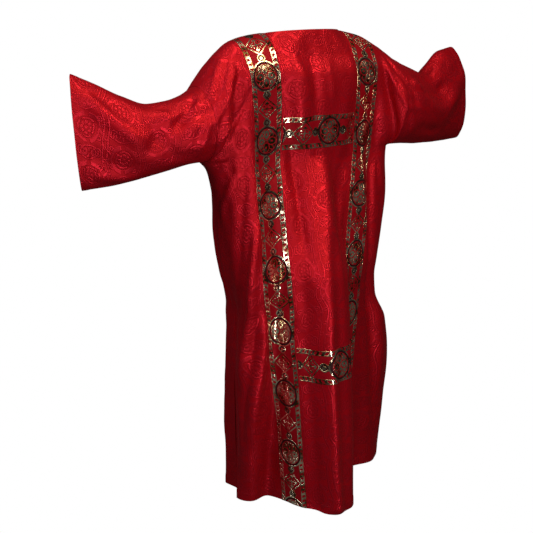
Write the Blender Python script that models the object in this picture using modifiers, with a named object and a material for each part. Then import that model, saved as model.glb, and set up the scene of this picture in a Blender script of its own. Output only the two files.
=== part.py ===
"""A dalmatic: the wide-sleeved tunic of a deacon, worn, with nobody in it.

Metres, +Z up. The origin is between the shoulders, at the neck, where the wearer's shoulders hold
the cloth. +X is the wearer's left, -Y the front and +Y the back.
"""

import math

import bmesh
import bpy
import numpy as np
from mathutils import Vector

# Cloth
WALL = 0.0015
BAND_WALL = 0.0010
LIFT = 0.0004
SEAM = 0.0005
ARMHOLE_SEAM = 0.0014

# Cut, measured on the flat cloth from the centre line
NECK_HALF = 0.108
CLAVUS_CENTRE = 0.1595
BAND_WIDTH = 0.084
PANEL_HALF = 0.345
SHOULDER_SPREAD = 1.020

# Heights
UNDERARM = -0.305
HEM = -1.200
KNEE = -0.770
LOWER_BAND_TOP = -0.768

# Height over which the cloth turns from the shoulder into the back or the front
SHOULDER_ROLL = 0.070

CLAVUS_IN = CLAVUS_CENTRE - BAND_WIDTH / 2
CLAVUS_OUT = CLAVUS_CENTRE + BAND_WIDTH / 2

# Line of the shoulder, from the neck to the top of the armhole, on each side
RIDGE = {
    "left": {
        "x": (0.000, 0.112, 0.160, 0.196, 0.222, 0.251, 0.280, 0.312),
        "z": (0.010, 0.003, -0.002, -0.010, -0.021, -0.044, -0.076, -0.118),
    },
    "right": {
        "x": (0.000, 0.112, 0.140, 0.170, 0.208, 0.241, 0.280, 0.312),
        "z": (0.010, 0.004, -0.001, -0.008, -0.023, -0.040, -0.066, -0.083),
    },
}

# Height of each panel's upper edge at the middle of the neck
NECK = {"back": 0.012, "front": -0.045}

# How far each panel hangs back or forward down its centre line
DEPTH = {
    "back": {
        "z": (0.020, -0.050, -0.100, -0.200, -0.300, -0.400, -0.510, -0.610, -0.780, -0.880, -1.020, -1.200),
        "depth": (0.055, 0.062, 0.074, 0.067, 0.061, 0.085, 0.112, 0.138, 0.132, 0.129, 0.117, 0.093),
    },
    "front": {
        "z": (0.020, -0.050, -0.100, -0.200, -0.300, -0.400, -0.510, -0.610, -0.780, -0.880, -1.020, -1.200),
        "depth": (0.070, 0.080, 0.090, 0.108, 0.120, 0.129, 0.132, 0.126, 0.106, 0.104, 0.102, 0.104),
    },
}

# Side edges of each panel below the underarm: how far out and how far back they hang, and how
# far the cloth's centre line is carried to the wearer's left. The edges part at the side slits,
# which open below -0.780.
SIDES = {
    "back": {
        "z": (-0.305, -0.330, -0.360, -0.410, -0.510, -0.600, -0.650, -0.700, -0.780, -0.880, -1.020, -1.200),
        "left": (0.296, 0.272, 0.261, 0.251, 0.243, 0.228, 0.213, 0.200, 0.204, 0.212, 0.218, 0.224),
        "left_y": (0.0, 0.0, 0.0, 0.0, 0.0, 0.0, 0.0, 0.0, 0.0, 0.012, 0.028, 0.038),
        "right": (0.281, 0.277, 0.275, 0.276, 0.259, 0.238, 0.227, 0.231, 0.272, 0.285, 0.272, 0.255),
        "right_y": (0.0, 0.0, 0.0, 0.0, 0.0, 0.0, 0.0, 0.0, 0.0, 0.004, 0.010, 0.014),
        "shift": (-0.026, -0.014, -0.008, 0.004, 0.010, 0.019, 0.018, 0.023, 0.045, 0.048, 0.038, 0.034),
    },
    "front": {
        "z": (-0.305, -0.330, -0.360, -0.410, -0.510, -0.600, -0.650, -0.700, -0.780, -0.880, -1.020, -1.200),
        "left": (0.296, 0.272, 0.261, 0.251, 0.243, 0.228, 0.213, 0.200, 0.204, 0.204, 0.201, 0.197),
        "left_y": (0.0, 0.0, 0.0, 0.0, 0.0, 0.0, 0.0, 0.0, 0.0, -0.002, -0.004, -0.004),
        "right": (0.281, 0.277, 0.275, 0.276, 0.259, 0.238, 0.227, 0.231, 0.272, 0.280, 0.270, 0.250),
        "right_y": (0.0, 0.0, 0.0, 0.0, 0.0, 0.0, 0.0, 0.0, 0.0, -0.008, -0.014, -0.020),
        "shift": (0.0, 0.0, 0.0, 0.0, 0.0, 0.0, 0.0, 0.0, 0.0, 0.0, 0.0, 0.0),
    },
}

# Folds below the underarm. "at" is the distance from the panel's centre line along the unfolded
# section, plus to the wearer's left, where the fold starts, at the knee and at the hem; "out" is
# the height of a ridge, and minus for a trough; "flat" squares the fold's top.
FOLD_COLUMNS = (
    "name", "starts", "top_at", "knee_at", "hem_at", "knee_out", "hem_out", "top_half", "hem_half", "flat"
)
FOLDS = {
    "back": (
        ("left_side_ridge", -0.24, 0.221, 0.228, 0.224, 0.026, 0.017, 0.040, 0.042, 2.0),
        ("left_blade_ridge", 0.00, 0.202, 0.182, 0.206, 0.042, 0.004, 0.035, 0.033, 2.0),
        ("left_side_trough", -0.50, 0.165, 0.165, 0.150, -0.004, -0.012, 0.026, 0.026, 2.0),
        ("centre_crest", -0.24, 0.029, 0.047, 0.040, 0.104, 0.167, 0.068, 0.082, 4.0),
        ("centre_left_ridge", -0.22, 0.062, 0.062, 0.050, 0.006, 0.004, 0.024, 0.024, 2.0),
        ("right_trough", -0.30, -0.120, -0.140, -0.130, -0.010, -0.012, 0.036, 0.036, 2.0),
        ("right_blade_trough", 0.00, -0.215, -0.196, -0.205, -0.033, -0.004, 0.035, 0.029, 2.0),
        ("right_side_ridge", -0.40, -0.215, -0.215, -0.200, 0.008, 0.012, 0.028, 0.028, 2.0),
    ),
    "front": (
        ("left_ridge", -0.36, 0.190, 0.190, 0.200, 0.012, 0.020, 0.034, 0.034, 2.0),
        ("left_trough", -0.36, 0.120, 0.120, 0.125, -0.014, -0.024, 0.030, 0.030, 2.0),
        ("centre_left_ridge", -0.40, 0.040, 0.050, 0.060, 0.014, 0.026, 0.034, 0.034, 2.0),
        ("centre_trough", -0.42, -0.010, -0.010, -0.010, -0.012, -0.022, 0.030, 0.030, 2.0),
        ("centre_right_ridge", -0.38, -0.065, -0.075, -0.085, 0.016, 0.028, 0.036, 0.036, 2.0),
        ("right_trough", -0.36, -0.140, -0.145, -0.150, -0.012, -0.022, 0.030, 0.030, 2.0),
        ("right_ridge", -0.36, -0.210, -0.210, -0.220, 0.012, 0.020, 0.034, 0.034, 2.0),
    ),
}

# How far each part of the hem hangs below HEM, by distance across the cloth
HEM_LINE = {
    "across": (-0.345, -0.240, -0.140, -0.060, 0.060, 0.120, 0.200, 0.345),
    "back": (-0.016, -0.012, -0.002, 0.004, 0.004, 0.000, 0.002, 0.005),
    "front": (-0.010, 0.000, 0.004, 0.000, 0.004, 0.000, 0.002, 0.000),
}

# Sleeves, by rings from the armhole to the cuff: how far out, the top and bottom edge, the
# middle of the ring forward or back, half its thickness, how far the back of the ring reaches
# out beyond its middle, and how far its top does.
SLEEVES = {
    "left": {
        "out": (0.304, 0.343, 0.392, 0.440, 0.500, 0.556, 0.614),
        "top": (-0.118, -0.138, -0.150, -0.155, -0.133, -0.105, -0.078),
        "bottom": (-0.305, -0.308, -0.318, -0.328, -0.341, -0.348, -0.352),
        "middle_y": (0.0, 0.000, -0.004, -0.010, -0.018, -0.026, -0.034),
        "thick": (0.085, 0.080, 0.072, 0.064, 0.052, 0.042, 0.034),
        "reach": (0.0, 0.003, 0.008, 0.013, 0.017, 0.019, 0.020),
        "lean": (0.0, 0.0, 0.0, 0.0, 0.002, 0.006, 0.010),
    },
    "right": {
        "out": (0.304, 0.340, 0.380, 0.415, 0.458, 0.503, 0.552),
        "top": (-0.083, -0.096, -0.111, -0.122, -0.092, -0.062, -0.054),
        "bottom": (-0.305, -0.306, -0.310, -0.312, -0.315, -0.315, -0.312),
        "middle_y": (0.0, 0.000, -0.004, -0.010, -0.018, -0.026, -0.034),
        "thick": (0.085, 0.080, 0.072, 0.064, 0.052, 0.042, 0.034),
        "reach": (0.0, 0.003, 0.008, 0.013, 0.017, 0.019, 0.020),
        "lean": (0.0, 0.0, 0.0, 0.0, -0.004, -0.008, -0.014),
    },
}

# Drag folds above the underarm: s is the distance across the cloth and t the share of the way
# down from the shoulder line.
YOKE_COLUMNS = ("name", "s_from", "t_from", "s_to", "t_to", "half_width", "out")
YOKE_FOLDS = {
    "back": (
        ("left_armhole_trough", 0.222, 0.28, 0.315, 0.98, 0.022, -0.014),
        ("left_shoulder_ridge", 0.262, 0.20, 0.325, 0.80, 0.020, 0.010),
        ("right_armhole_trough", -0.225, 0.30, -0.315, 0.98, 0.022, -0.012),
        ("centre_left_ridge", 0.070, 0.22, 0.062, 0.95, 0.022, 0.007),
        ("centre_trough", 0.030, 0.20, 0.024, 0.80, 0.020, -0.006),
    ),
    "front": (
        ("left_armhole_trough", 0.225, 0.30, 0.315, 0.98, 0.022, -0.012),
        ("right_armhole_trough", -0.222, 0.28, -0.315, 0.98, 0.022, -0.012),
    ),
}

# Sleeve folds: turn is the angle round the sleeve, 0 at the top edge, plus towards the back.
SLEEVE_COLUMNS = ("name", "turn_from", "turn_to", "from_out", "to_out", "half_turn", "out")
SLEEVE_FOLDS = {
    "left": (
        ("elbow_trough", 0.9, 1.7, 0.35, 0.46, 0.28, -0.008),
        ("forearm_ridge", 1.6, 0.9, 0.46, 0.58, 0.30, 0.008),
        ("front_trough", -1.2, -1.5, 0.36, 0.54, 0.30, -0.008),
    ),
    "right": (
        ("elbow_trough", 0.7, 1.3, 0.34, 0.46, 0.28, -0.010),
        ("forearm_ridge", 1.9, 1.1, 0.44, 0.56, 0.30, 0.008),
        ("front_trough", -1.2, -1.5, 0.36, 0.54, 0.30, -0.008),
    ),
}

# Lengths over which a fold fades: at a panel's side edge, below its start, at the armhole, past
# the ends of its line, and along a sleeve
EDGE_FADE = 0.05
START_FADE = 0.12
ARMHOLE_FADE = 0.03
END_FADE = (-0.15, 0.35)
SLEEVE_FADE = 0.03

# Mesh
CENTRE_COLUMNS = 5
CLAVUS_COLUMNS = 3
BAND_ROWS = 2
SIDE_COLUMNS = 7
YOKE_ROWS = 8
BODY_ROWS = 12
SKIRT_ROWS = 8
SLEEVE_RINGS = 12
DENSE = 481

# Shape of the sections: how square they are, the yoke's half width and length, how soon the
# cloth falls below the shoulder, the share of the way to the underarm at which it has come in to
# the sides' width, half the armhole's thickness and how far into a sleeve the armhole's shape is
# carried
TURN = {"back": 1.0, "front": -1.0}
SECTION_SQUARE = 2.23
YOKE_SQUARE = 2.6
YOKE_HALF = 0.335
YOKE_LENGTH = 0.31
FALL_POWER = 1.5
GATHER_SHARE = 0.84
ARMHOLE_THICK = 0.085
ARMHOLE_CARRY = 0.45

# The upper cross band's edges, as shares of the way from the shoulder to the underarm
UPPER_BAND_SHARES = (0.765, 0.955)
UPPER_FADE = (0.12, 0.10)
BAND_GAP = 0.0004

RED = (0.36, 0.004, 0.010, 1.0)
GOLD_ON_RED = (0.42, 0.28, 0.07, 1.0)


def blend(low, high, value):
    """0 up to low, 1 from high, and smooth between them."""
    share = np.clip((value - low) / (high - low), 0.0, 1.0)
    return share * share * (3.0 - 2.0 * share)


def read(at, places, values):
    """A smooth curve through the table's values that never overshoots them."""
    places = np.asarray(places, float)
    values = np.asarray(values, float)
    if places[0] > places[-1]:
        places = places[::-1]
        values = values[::-1]
    steps = np.diff(places)
    slopes = np.diff(values) / steps
    tangents = np.zeros(len(values))
    for i in range(1, len(values) - 1):
        if slopes[i - 1] * slopes[i] > 0:
            tangents[i] = 2 * slopes[i - 1] * slopes[i] / (slopes[i - 1] + slopes[i])
    tangents[0] = slopes[0]
    tangents[-1] = slopes[-1]
    at = np.clip(at, places[0], places[-1])
    i = np.clip(np.searchsorted(places, at, side="right") - 1, 0, len(steps) - 1)
    t = (at - places[i]) / steps[i]
    return (
        (2 * t**3 - 3 * t**2 + 1) * values[i]
        + (t**3 - 2 * t**2 + t) * steps[i] * tangents[i]
        + (3 * t**2 - 2 * t**3) * values[i + 1]
        + (t**3 - t**2) * steps[i] * tangents[i + 1]
    )


def along(points):
    """Distance along a line of points."""
    return np.concatenate([[0.0], np.cumsum(np.linalg.norm(np.diff(points, axis=0), axis=1))])


def folded_section(face, z):
    """The panel's section at height z, from its right side edge to its left, as dense (x, y)."""
    sides = SIDES[face]
    turn = TURN[face]
    depth = turn * read(z, DEPTH[face]["z"], DEPTH[face]["depth"])
    angle = np.linspace(-math.pi / 2, math.pi / 2, DENSE)
    left = angle >= 0
    half = np.where(left, read(z, sides["z"], sides["left"]), read(z, sides["z"], sides["right"]))
    edge = np.where(left, read(z, sides["z"], sides["left_y"]), read(z, sides["z"], sides["right_y"]))
    edge = edge + turn * SEAM / 2
    out = np.sign(angle) * np.abs(np.sin(angle)) ** (2 / SECTION_SQUARE)
    base = np.stack([half * out, edge + (depth - edge) * np.cos(angle) ** (2 / SECTION_SQUARE)], axis=1)
    run = along(base)
    place = run - run[DENSE // 2]
    tangent = np.gradient(base, axis=0)
    tangent /= np.linalg.norm(tangent, axis=1)[:, None]
    normal = turn * np.stack([-tangent[:, 1], tangent[:, 0]], axis=1)
    line = base.copy()
    near_edge = blend(0.0, EDGE_FADE, place - place[0]) * blend(0.0, EDGE_FADE, place[-1] - place)
    for row in FOLDS[face]:
        fold = dict(zip(FOLD_COLUMNS, row))
        if z >= fold["starts"]:
            continue
        stages = (fold["starts"], KNEE, HEM)
        at = read(z, stages, (fold["top_at"], fold["knee_at"], fold["hem_at"]))
        out = read(z, stages, (0.0, fold["knee_out"], fold["hem_out"]))
        out = out * blend(0.0, START_FADE, fold["starts"] - z)
        half_width = read(z, stages, (fold["top_half"], fold["hem_half"], fold["hem_half"]))
        rise = out * near_edge * np.exp(-(np.abs((place - at) / half_width) ** fold["flat"]))
        line += rise[:, None] * normal
    return line


def lower_row(face, z, columns):
    """Points at height z at these distances across the cloth, plus to the wearer's left."""
    line = folded_section(face, z)
    run = along(line)
    shift = read(z, SIDES[face]["z"], SIDES[face]["shift"])
    place = run - run[-1] / 2 - shift
    reach = np.where(columns > 0, run[-1] / 2 - shift, run[-1] / 2 + shift)
    size = np.abs(columns)
    beyond = CLAVUS_OUT + (size - CLAVUS_OUT) * (reach - CLAVUS_OUT) / (PANEL_HALF - CLAVUS_OUT)
    at = np.sign(columns) * np.where(size > CLAVUS_OUT, beyond, size)
    x = np.interp(at, place, line[:, 0])
    y = np.interp(at, place, line[:, 1])
    drop = read(columns, HEM_LINE["across"], HEM_LINE[face]) * blend(0.0, 1.0, (KNEE - z) / (KNEE - HEM))
    return np.stack([x, y, z - drop], axis=1)


def shoulder_line(columns):
    """(x, z) along the shoulders, for these distances across the cloth."""
    line = np.zeros((len(columns), 2))
    for i, s in enumerate(columns):
        table = RIDGE["left" if s >= 0 else "right"]
        xs = np.linspace(NECK_HALF * SHOULDER_SPREAD, table["x"][-1], DENSE)
        zs = read(xs, table["x"], table["z"])
        run = along(np.stack([xs, zs], axis=1))
        size = abs(s)
        clavus_end = (CLAVUS_OUT - NECK_HALF) * SHOULDER_SPREAD
        if size <= NECK_HALF:
            line[i] = s * SHOULDER_SPREAD, zs[0]
            continue
        if size <= CLAVUS_OUT:
            at = (size - NECK_HALF) * SHOULDER_SPREAD
        else:
            share = (size - CLAVUS_OUT) / (PANEL_HALF - CLAVUS_OUT)
            at = clavus_end + (run[-1] - clavus_end) * share
        line[i] = math.copysign(np.interp(at, run, xs), s), np.interp(at, run, zs)
    return line


def upper_rows(face, columns, shares):
    """Rows of points from the shoulder line and neck, share 0, to the underarm, share 1."""
    turn = TURN[face]
    top = shoulder_line(columns)
    under = lower_row(face, UNDERARM, columns)
    size = np.abs(columns)
    across = np.clip(size / NECK_HALF, 0.0, 1.0)
    neck_z = NECK[face] + (top[:, 1] - NECK[face]) * (1 - np.sqrt(1 - across**2))
    top_z = np.where(size <= NECK_HALF, neck_z, top[:, 1])
    hidden_top = top_z + SHOULDER_ROLL * (1 - across)
    armhole = blend(CLAVUS_OUT, PANEL_HALF, size)

    def hung(share):
        slow = blend(0.0, GATHER_SHARE, share)
        round_fall = (1 - math.cos(math.pi * share)) / 2
        fall = armhole * round_fall + (1 - armhole) * share**FALL_POWER
        z = top_z + (UNDERARM - top_z) * fall
        x = top[:, 0] + (under[:, 0] - top[:, 0]) * slow
        drop = np.clip((hidden_top - z) / SHOULDER_ROLL, 0.0, 1.0)
        roll = np.sqrt(1 - (1 - drop) ** 2)
        depth = read(z, DEPTH[face]["z"], DEPTH[face]["depth"])
        lateral = np.sqrt(np.clip(1 - (np.abs(x) / YOKE_HALF) ** YOKE_SQUARE, 0.0, 1.0))
        ring = ARMHOLE_THICK * math.sin(math.pi * share)
        y = armhole * ring + (1 - armhole) * depth * lateral * roll
        return np.stack([x, turn * np.maximum(y, SEAM / 2), z], axis=1)

    miss = under - hung(1.0)
    return [hung(share) + share**2 * miss for share in shares]


def normals_of(grid):
    """Outward unit normals of a grid of points whose rows run down and columns to the left."""
    down = np.gradient(grid, axis=0)
    across = np.gradient(grid, axis=1)
    normal = np.cross(down, across)
    return normal / np.linalg.norm(normal, axis=2)[:, :, None]


def creased(face, grid, columns, shares):
    """The upper rows with their drag folds, which run from the shoulder towards the underarm."""
    normal = normals_of(grid) * -TURN[face]
    s, t = np.meshgrid(columns, shares)
    fade = blend(0.0, UPPER_FADE[0], t) * blend(0.0, UPPER_FADE[1], 1.0 - t)
    fade = fade * blend(0.0, ARMHOLE_FADE, PANEL_HALF - np.abs(s))
    rise = np.zeros(s.shape)
    for row in YOKE_FOLDS[face]:
        fold = dict(zip(YOKE_COLUMNS, row))
        start = np.array([fold["s_from"], fold["t_from"] * YOKE_LENGTH])
        end = np.array([fold["s_to"], fold["t_to"] * YOKE_LENGTH])
        way = end - start
        px = s - start[0]
        py = t * YOKE_LENGTH - start[1]
        share = np.clip((px * way[0] + py * way[1]) / way.dot(way), 0.0, 1.0)
        off = np.hypot(px - share * way[0], py - share * way[1])
        ends = blend(*END_FADE, share) * blend(*END_FADE, 1.0 - share)
        rise += fold["out"] * ends * np.exp(-((off / fold["half_width"]) ** 2))
    return grid + (rise * fade)[:, :, None] * normal


def panel_points(face, columns, shares, heights):
    """The whole panel's middle surface: rows down, columns from the wearer's right to left."""
    upper = creased(face, np.array(upper_rows(face, columns, shares)), columns, shares)
    lower = [lower_row(face, z, columns) for z in heights]
    return np.concatenate([upper, np.array(lower)])


def sleeve_points(side, edge, rings, turns):
    """Rings of points from the armhole's edge to the cuff; turns is each point's angle."""
    table = SLEEVES[side]
    sign = 1.0 if side == "left" else -1.0
    outs = np.array(table["out"])
    grid = []
    for share in rings:
        out = outs[0] + (outs[-1] - outs[0]) * share
        top = read(out, outs, table["top"])
        bottom = read(out, outs, table["bottom"])
        thick = read(out, outs, table["thick"])
        middle_y = read(out, outs, table["middle_y"])
        reach = read(out, outs, table["reach"])
        lean = read(out, outs, table["lean"])
        back = np.sin(turns)
        x = out + reach * back + lean * np.cos(turns)
        y = middle_y + thick * back
        z = (top + bottom) / 2 + (top - bottom) / 2 * np.cos(turns)
        for row in SLEEVE_FOLDS[side]:
            fold = dict(zip(SLEEVE_COLUMNS, row))
            gone = (out - fold["from_out"]) / (fold["to_out"] - fold["from_out"])
            at = fold["turn_from"] + (fold["turn_to"] - fold["turn_from"]) * np.clip(gone, 0.0, 1.0)
            begun = blend(-SLEEVE_FADE, SLEEVE_FADE, out - fold["from_out"])
            near = begun * blend(-SLEEVE_FADE, SLEEVE_FADE, fold["to_out"] - out)
            off = (turns - at + math.pi) % (2 * math.pi) - math.pi
            rise = fold["out"] * near * np.exp(-((off / fold["half_turn"]) ** 2))
            y += rise * back
            z += rise * np.cos(turns)
        grid.append(np.stack([sign * x, y, z], axis=1))
    grid = np.array(grid)
    miss = edge - grid[0]
    fade = (1 - np.array(rings) / ARMHOLE_CARRY).clip(0.0, 1.0) ** 2
    return grid + fade[:, None, None] * miss


def material(name, colour, roughness, metallic):
    finish = bpy.data.materials.new(name)
    finish.use_nodes = True
    shader = finish.node_tree.nodes["Principled BSDF"]
    shader.inputs["Base Color"].default_value = colour
    shader.inputs["Roughness"].default_value = roughness
    shader.inputs["Metallic"].default_value = metallic
    finish.diffuse_color = colour
    return finish


def surface(grid, splits, closed=False):
    """A triangulated mesh through a grid of points, the same diagonal in every panel and band."""
    rows, columns = grid.shape[:2]
    bm = bmesh.new()
    bmesh.ops.create_grid(bm, x_segments=columns - 1, y_segments=rows - 1, size=1.0)
    bm.verts.ensure_lookup_table()
    ordered = sorted(bm.verts, key=lambda v: (round(v.co.y, 5), round(v.co.x, 5)))
    for vertex, point in zip(ordered, grid.reshape(-1, 3)):
        vertex.co = Vector(point)
    bm.verts.index_update()
    rank = {vertex: i // columns for i, vertex in enumerate(ordered)}
    for method, first, last in splits:
        faces = [f for f in bm.faces if len(f.verts) == 4 and first <= min(rank[v] for v in f.verts) < last]
        bmesh.ops.triangulate(bm, faces=faces, quad_method=method)
    if closed:
        bmesh.ops.remove_doubles(bm, verts=bm.verts, dist=1e-6)
    bmesh.ops.recalc_face_normals(bm, faces=bm.faces)
    return bm


def cloth(name, bm, outward, thickness, finish, collection):
    """An object of this surface, given its wall by a Solidify; outward says which way is out."""
    bm.normal_update()
    face = max(bm.faces, key=lambda f: f.calc_center_median().dot(outward))
    if face.normal.dot(outward) < 0:
        bmesh.ops.reverse_faces(bm, faces=bm.faces)
    mesh = bpy.data.meshes.new(name)
    bm.to_mesh(mesh)
    bm.free()
    mesh.materials.append(finish)
    mesh.shade_smooth()
    piece = bpy.data.objects.new(name, mesh)
    collection.objects.link(piece)
    wall = piece.modifiers.new("Wall", "SOLIDIFY")
    wall.thickness = thickness
    wall.offset = 0.0
    wall.use_even_offset = False
    return piece


def lifted(grid, face):
    """Points for the middle of a band that lies on the panel."""
    bm = surface(grid, [("FIXED", 0, len(grid))])
    bm.normal_update()
    ordered = {}
    for vertex in bm.verts:
        ordered[tuple(np.round(vertex.co, 6))] = np.array(vertex.normal)
    normal = np.array([ordered[tuple(np.round(Vector(point), 6))] for point in grid.reshape(-1, 3)])
    bm.free()
    normal = normal.reshape(grid.shape)
    middle = normal[len(grid) * 2 // 3, grid.shape[1] // 2]
    if middle[1] * TURN[face] < 0:
        normal = -normal
    return grid + normal * (WALL / 2 + LIFT + BAND_WALL / 2)


def inset(points, gap):
    """The strip's two end columns drawn in, to leave a gap beside the next piece."""
    points = points.copy()
    for end, inner in ((0, 1), (-1, -2)):
        way = points[:, inner] - points[:, end]
        points[:, end] += way / np.linalg.norm(way, axis=1)[:, None] * gap
    return points


def clear_scene():
    for obj in list(bpy.data.objects):
        bpy.data.objects.remove(obj, do_unlink=True)


def main():
    clear_scene()
    collection = bpy.data.collections.new("Dalmatic")
    bpy.context.scene.collection.children.link(collection)
    red = material("Red damask", RED, 0.45, 0.0)
    gold = material("Gold galloon", GOLD_ON_RED, 0.38, 0.6)

    middle = list(np.linspace(0.0, NECK_HALF, CENTRE_COLUMNS + 1))
    clavus = list(np.linspace(CLAVUS_IN, CLAVUS_OUT, CLAVUS_COLUMNS + 1))
    outer = list(np.linspace(CLAVUS_OUT, PANEL_HALF, SIDE_COLUMNS + 1)[1:])
    half = np.array(middle + clavus + outer)
    columns = np.concatenate([-half[:0:-1], half])
    clavus_at = {
        "left": slice(len(columns) - len(outer) - len(clavus), len(columns) - len(outer)),
        "right": slice(len(outer), len(outer) + len(clavus)),
    }
    between = slice(clavus_at["right"].stop - 1, clavus_at["left"].start + 1)

    panels = {}
    for face in ("back", "front"):
        shares = np.concatenate(
            [
                np.linspace(0.0, UPPER_BAND_SHARES[0], YOKE_ROWS + 1)[:-1],
                np.linspace(*UPPER_BAND_SHARES, BAND_ROWS + 1),
                [1.0],
            ]
        )
        heights = np.concatenate(
            [
                np.linspace(UNDERARM, LOWER_BAND_TOP, BODY_ROWS + 1)[1:-1],
                np.linspace(LOWER_BAND_TOP, LOWER_BAND_TOP - BAND_WIDTH, BAND_ROWS + 1)[:-1],
                np.linspace(LOWER_BAND_TOP - BAND_WIDTH, HEM, SKIRT_ROWS + 1),
            ]
        )
        points = panel_points(face, columns, shares, heights)
        panels[face] = points
        bm = surface(points, [("FIXED", 0, len(points))])
        cloth(f"{face}_panel", bm, Vector((0, TURN[face], 0)), WALL, red, collection)
        upper = len(shares)
        bands = {
            "upper": slice(YOKE_ROWS, YOKE_ROWS + BAND_ROWS + 1),
            "lower": slice(upper + BODY_ROWS - 1, upper + BODY_ROWS + BAND_ROWS),
        }
        raised = lifted(points, face)
        panels[face, "raised"] = raised
        for place, rows in bands.items():
            strip = inset(raised[rows, between], BAND_GAP)
            bm = surface(strip, [("FIXED", 0, len(strip))])
            name = f"{face}_{place}_band"
            cloth(name, bm, Vector((0, TURN[face], 0)), BAND_WALL, gold, collection)

    for side, at in clavus_at.items():
        back = panels["back", "raised"][:, at]
        front = panels["front", "raised"][:, at]
        crown = (back[0] + front[0]) / 2
        crown[:, 2] = panels["back"][0, at, 2] + WALL / 2 + LIFT + BAND_WALL / 2
        strip = np.concatenate([back[:0:-1], crown[None], front[1:]])
        turn_row = len(back) - 1
        bm = surface(strip, [("ALTERNATE", 0, turn_row), ("FIXED", turn_row, len(strip))])
        cloth(f"{side}_clavus", bm, Vector((0, 0, 1)), BAND_WALL, gold, collection)

    turns = np.concatenate([shares * math.pi, -shares[-2:0:-1] * math.pi])
    rings = np.linspace(0.0, 1.0, SLEEVE_RINGS + 1)
    for side, column in (("left", -1), ("right", 0)):
        sign = 1.0 if side == "left" else -1.0
        back = panels["back"][: len(shares), column]
        front = panels["front"][: len(shares), column]
        edge = np.concatenate([back, front[-2:0:-1]])
        edge[0, 1] = 0.0
        edge[len(shares) - 1, 1] = 0.0
        edge[:, 0] += sign * ARMHOLE_SEAM
        points = sleeve_points(side, edge, rings, turns)
        points = np.concatenate([points, points[:, :1]], axis=1)
        bm = surface(points, [("FIXED", 0, len(points))], closed=True)
        cloth(f"{side}_sleeve", bm, Vector((sign, 0, 0)), WALL, red, collection)


main()
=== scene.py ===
"""A dalmatic: the wide-sleeved tunic of a deacon, worn, with nobody in it.

Red damask with gold-on-red galloon. Metres, +Z up. +X is the wearer's left, -Y the front and +Y
the back. Each sheet of cloth is drawn on the cut: s is the distance across the cloth from its
centre line, plus to the wearer's left, and v the distance down from the shoulder.
"""

import functools
import math

import bpy
import numpy as np
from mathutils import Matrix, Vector


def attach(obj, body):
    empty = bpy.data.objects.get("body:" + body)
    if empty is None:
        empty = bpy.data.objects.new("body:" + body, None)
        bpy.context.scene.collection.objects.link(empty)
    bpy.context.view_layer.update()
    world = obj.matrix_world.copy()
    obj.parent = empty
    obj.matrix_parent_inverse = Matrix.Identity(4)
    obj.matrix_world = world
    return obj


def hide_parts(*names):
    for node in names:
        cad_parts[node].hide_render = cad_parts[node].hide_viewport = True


bl_info = {
    "name": "Dalmatic",
    "version": (1, 0, 0),
    "blender": (4, 5, 0),
    "location": "3D View > Sidebar > Dalmatic",
    "description": "A damask dalmatic with woven galloon, its stitching and a plain studio",
    "category": "Object",
}

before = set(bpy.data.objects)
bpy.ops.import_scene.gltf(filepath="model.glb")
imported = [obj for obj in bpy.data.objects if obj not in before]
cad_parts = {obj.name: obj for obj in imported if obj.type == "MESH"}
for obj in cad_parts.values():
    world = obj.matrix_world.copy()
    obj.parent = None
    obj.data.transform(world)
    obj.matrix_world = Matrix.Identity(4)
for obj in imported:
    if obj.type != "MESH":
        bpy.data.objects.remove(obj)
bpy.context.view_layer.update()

MM = 1000.0
FACES = ("back", "front")
TURN = {"back": 1.0, "front": -1.0}
SIGN = {"left": 1.0, "right": -1.0}
UP = Vector((0, 0, 1))
OUT = {face: Vector((0, turn, 0)) for face, turn in TURN.items()}


def rows(text):
    """A table's rows: a whole number is in millimetres, and one with a point is plain."""
    return [
        [float(word) if "." in word else int(word) / MM for word in line.replace(",", " ").split()]
        for line in text.strip().splitlines()
    ]


def curves(text):
    """A table's rows by the name that each starts with."""
    lines = [line.split(maxsplit=1) for line in text.strip().splitlines()]
    return {name: rows(values)[0] for name, values in lines}


def spans(places, steps):
    """Places in even steps from each of these places to the next."""
    parts = [np.linspace(a, b, n + 1)[:-1] for a, b, n in zip(places, places[1:], steps)]
    return np.append(np.concatenate(parts), places[-1])


# Cut, measured on the flat cloth from the centre line
NECK_HALF = 0.108
CLAVUS_CENTRE = 0.1595
BAND_WIDTH = 0.084
CLAVUS_IN = CLAVUS_CENTRE - BAND_WIDTH / 2
CLAVUS_OUT = CLAVUS_CENTRE + BAND_WIDTH / 2
PANEL_HALF = 0.345
SHOULDER_SPREAD = 1.020

# Heights
UNDERARM = -0.305
LOWER_BAND_TOP = -0.768
KNEE = -0.770
HEM = -1.200

# The upper cross band's edges, as shares of the way from the shoulder to the underarm
UPPER_BAND_SHARES = (0.765, 0.955)
YOKE_LENGTH = 0.31

# Fine grid of a panel, close together, with a line on each edge of each band: places across it,
# shares of the way from the shoulder to the underarm, heights below that, and v of every row
BAND_STEPS = 18
YOKE_STEPS = 50
BODY_STEPS = 100
HALF = spans((0.0, CLAVUS_IN, CLAVUS_OUT, PANEL_HALF), (27, BAND_STEPS, 33))
ACROSS = np.concatenate([-HALF[:0:-1], HALF])
SHARES = spans((0.0, *UPPER_BAND_SHARES, 1.0), (YOKE_STEPS, BAND_STEPS, 4))
LOWER_BAND = (LOWER_BAND_TOP, LOWER_BAND_TOP - BAND_WIDTH)
HEIGHTS = spans((UNDERARM, *LOWER_BAND, HEM), (BODY_STEPS, BAND_STEPS, 76))[1:]
DOWN = np.concatenate([SHARES * YOKE_LENGTH, YOKE_LENGTH + UNDERARM - HEIGHTS])
SLEEVE_STEPS = 80
DENSE = 961
CLOTH_MAP = "Cloth"
MERGE = 1e-5
EDGE_ANGLE = 50.0

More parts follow.
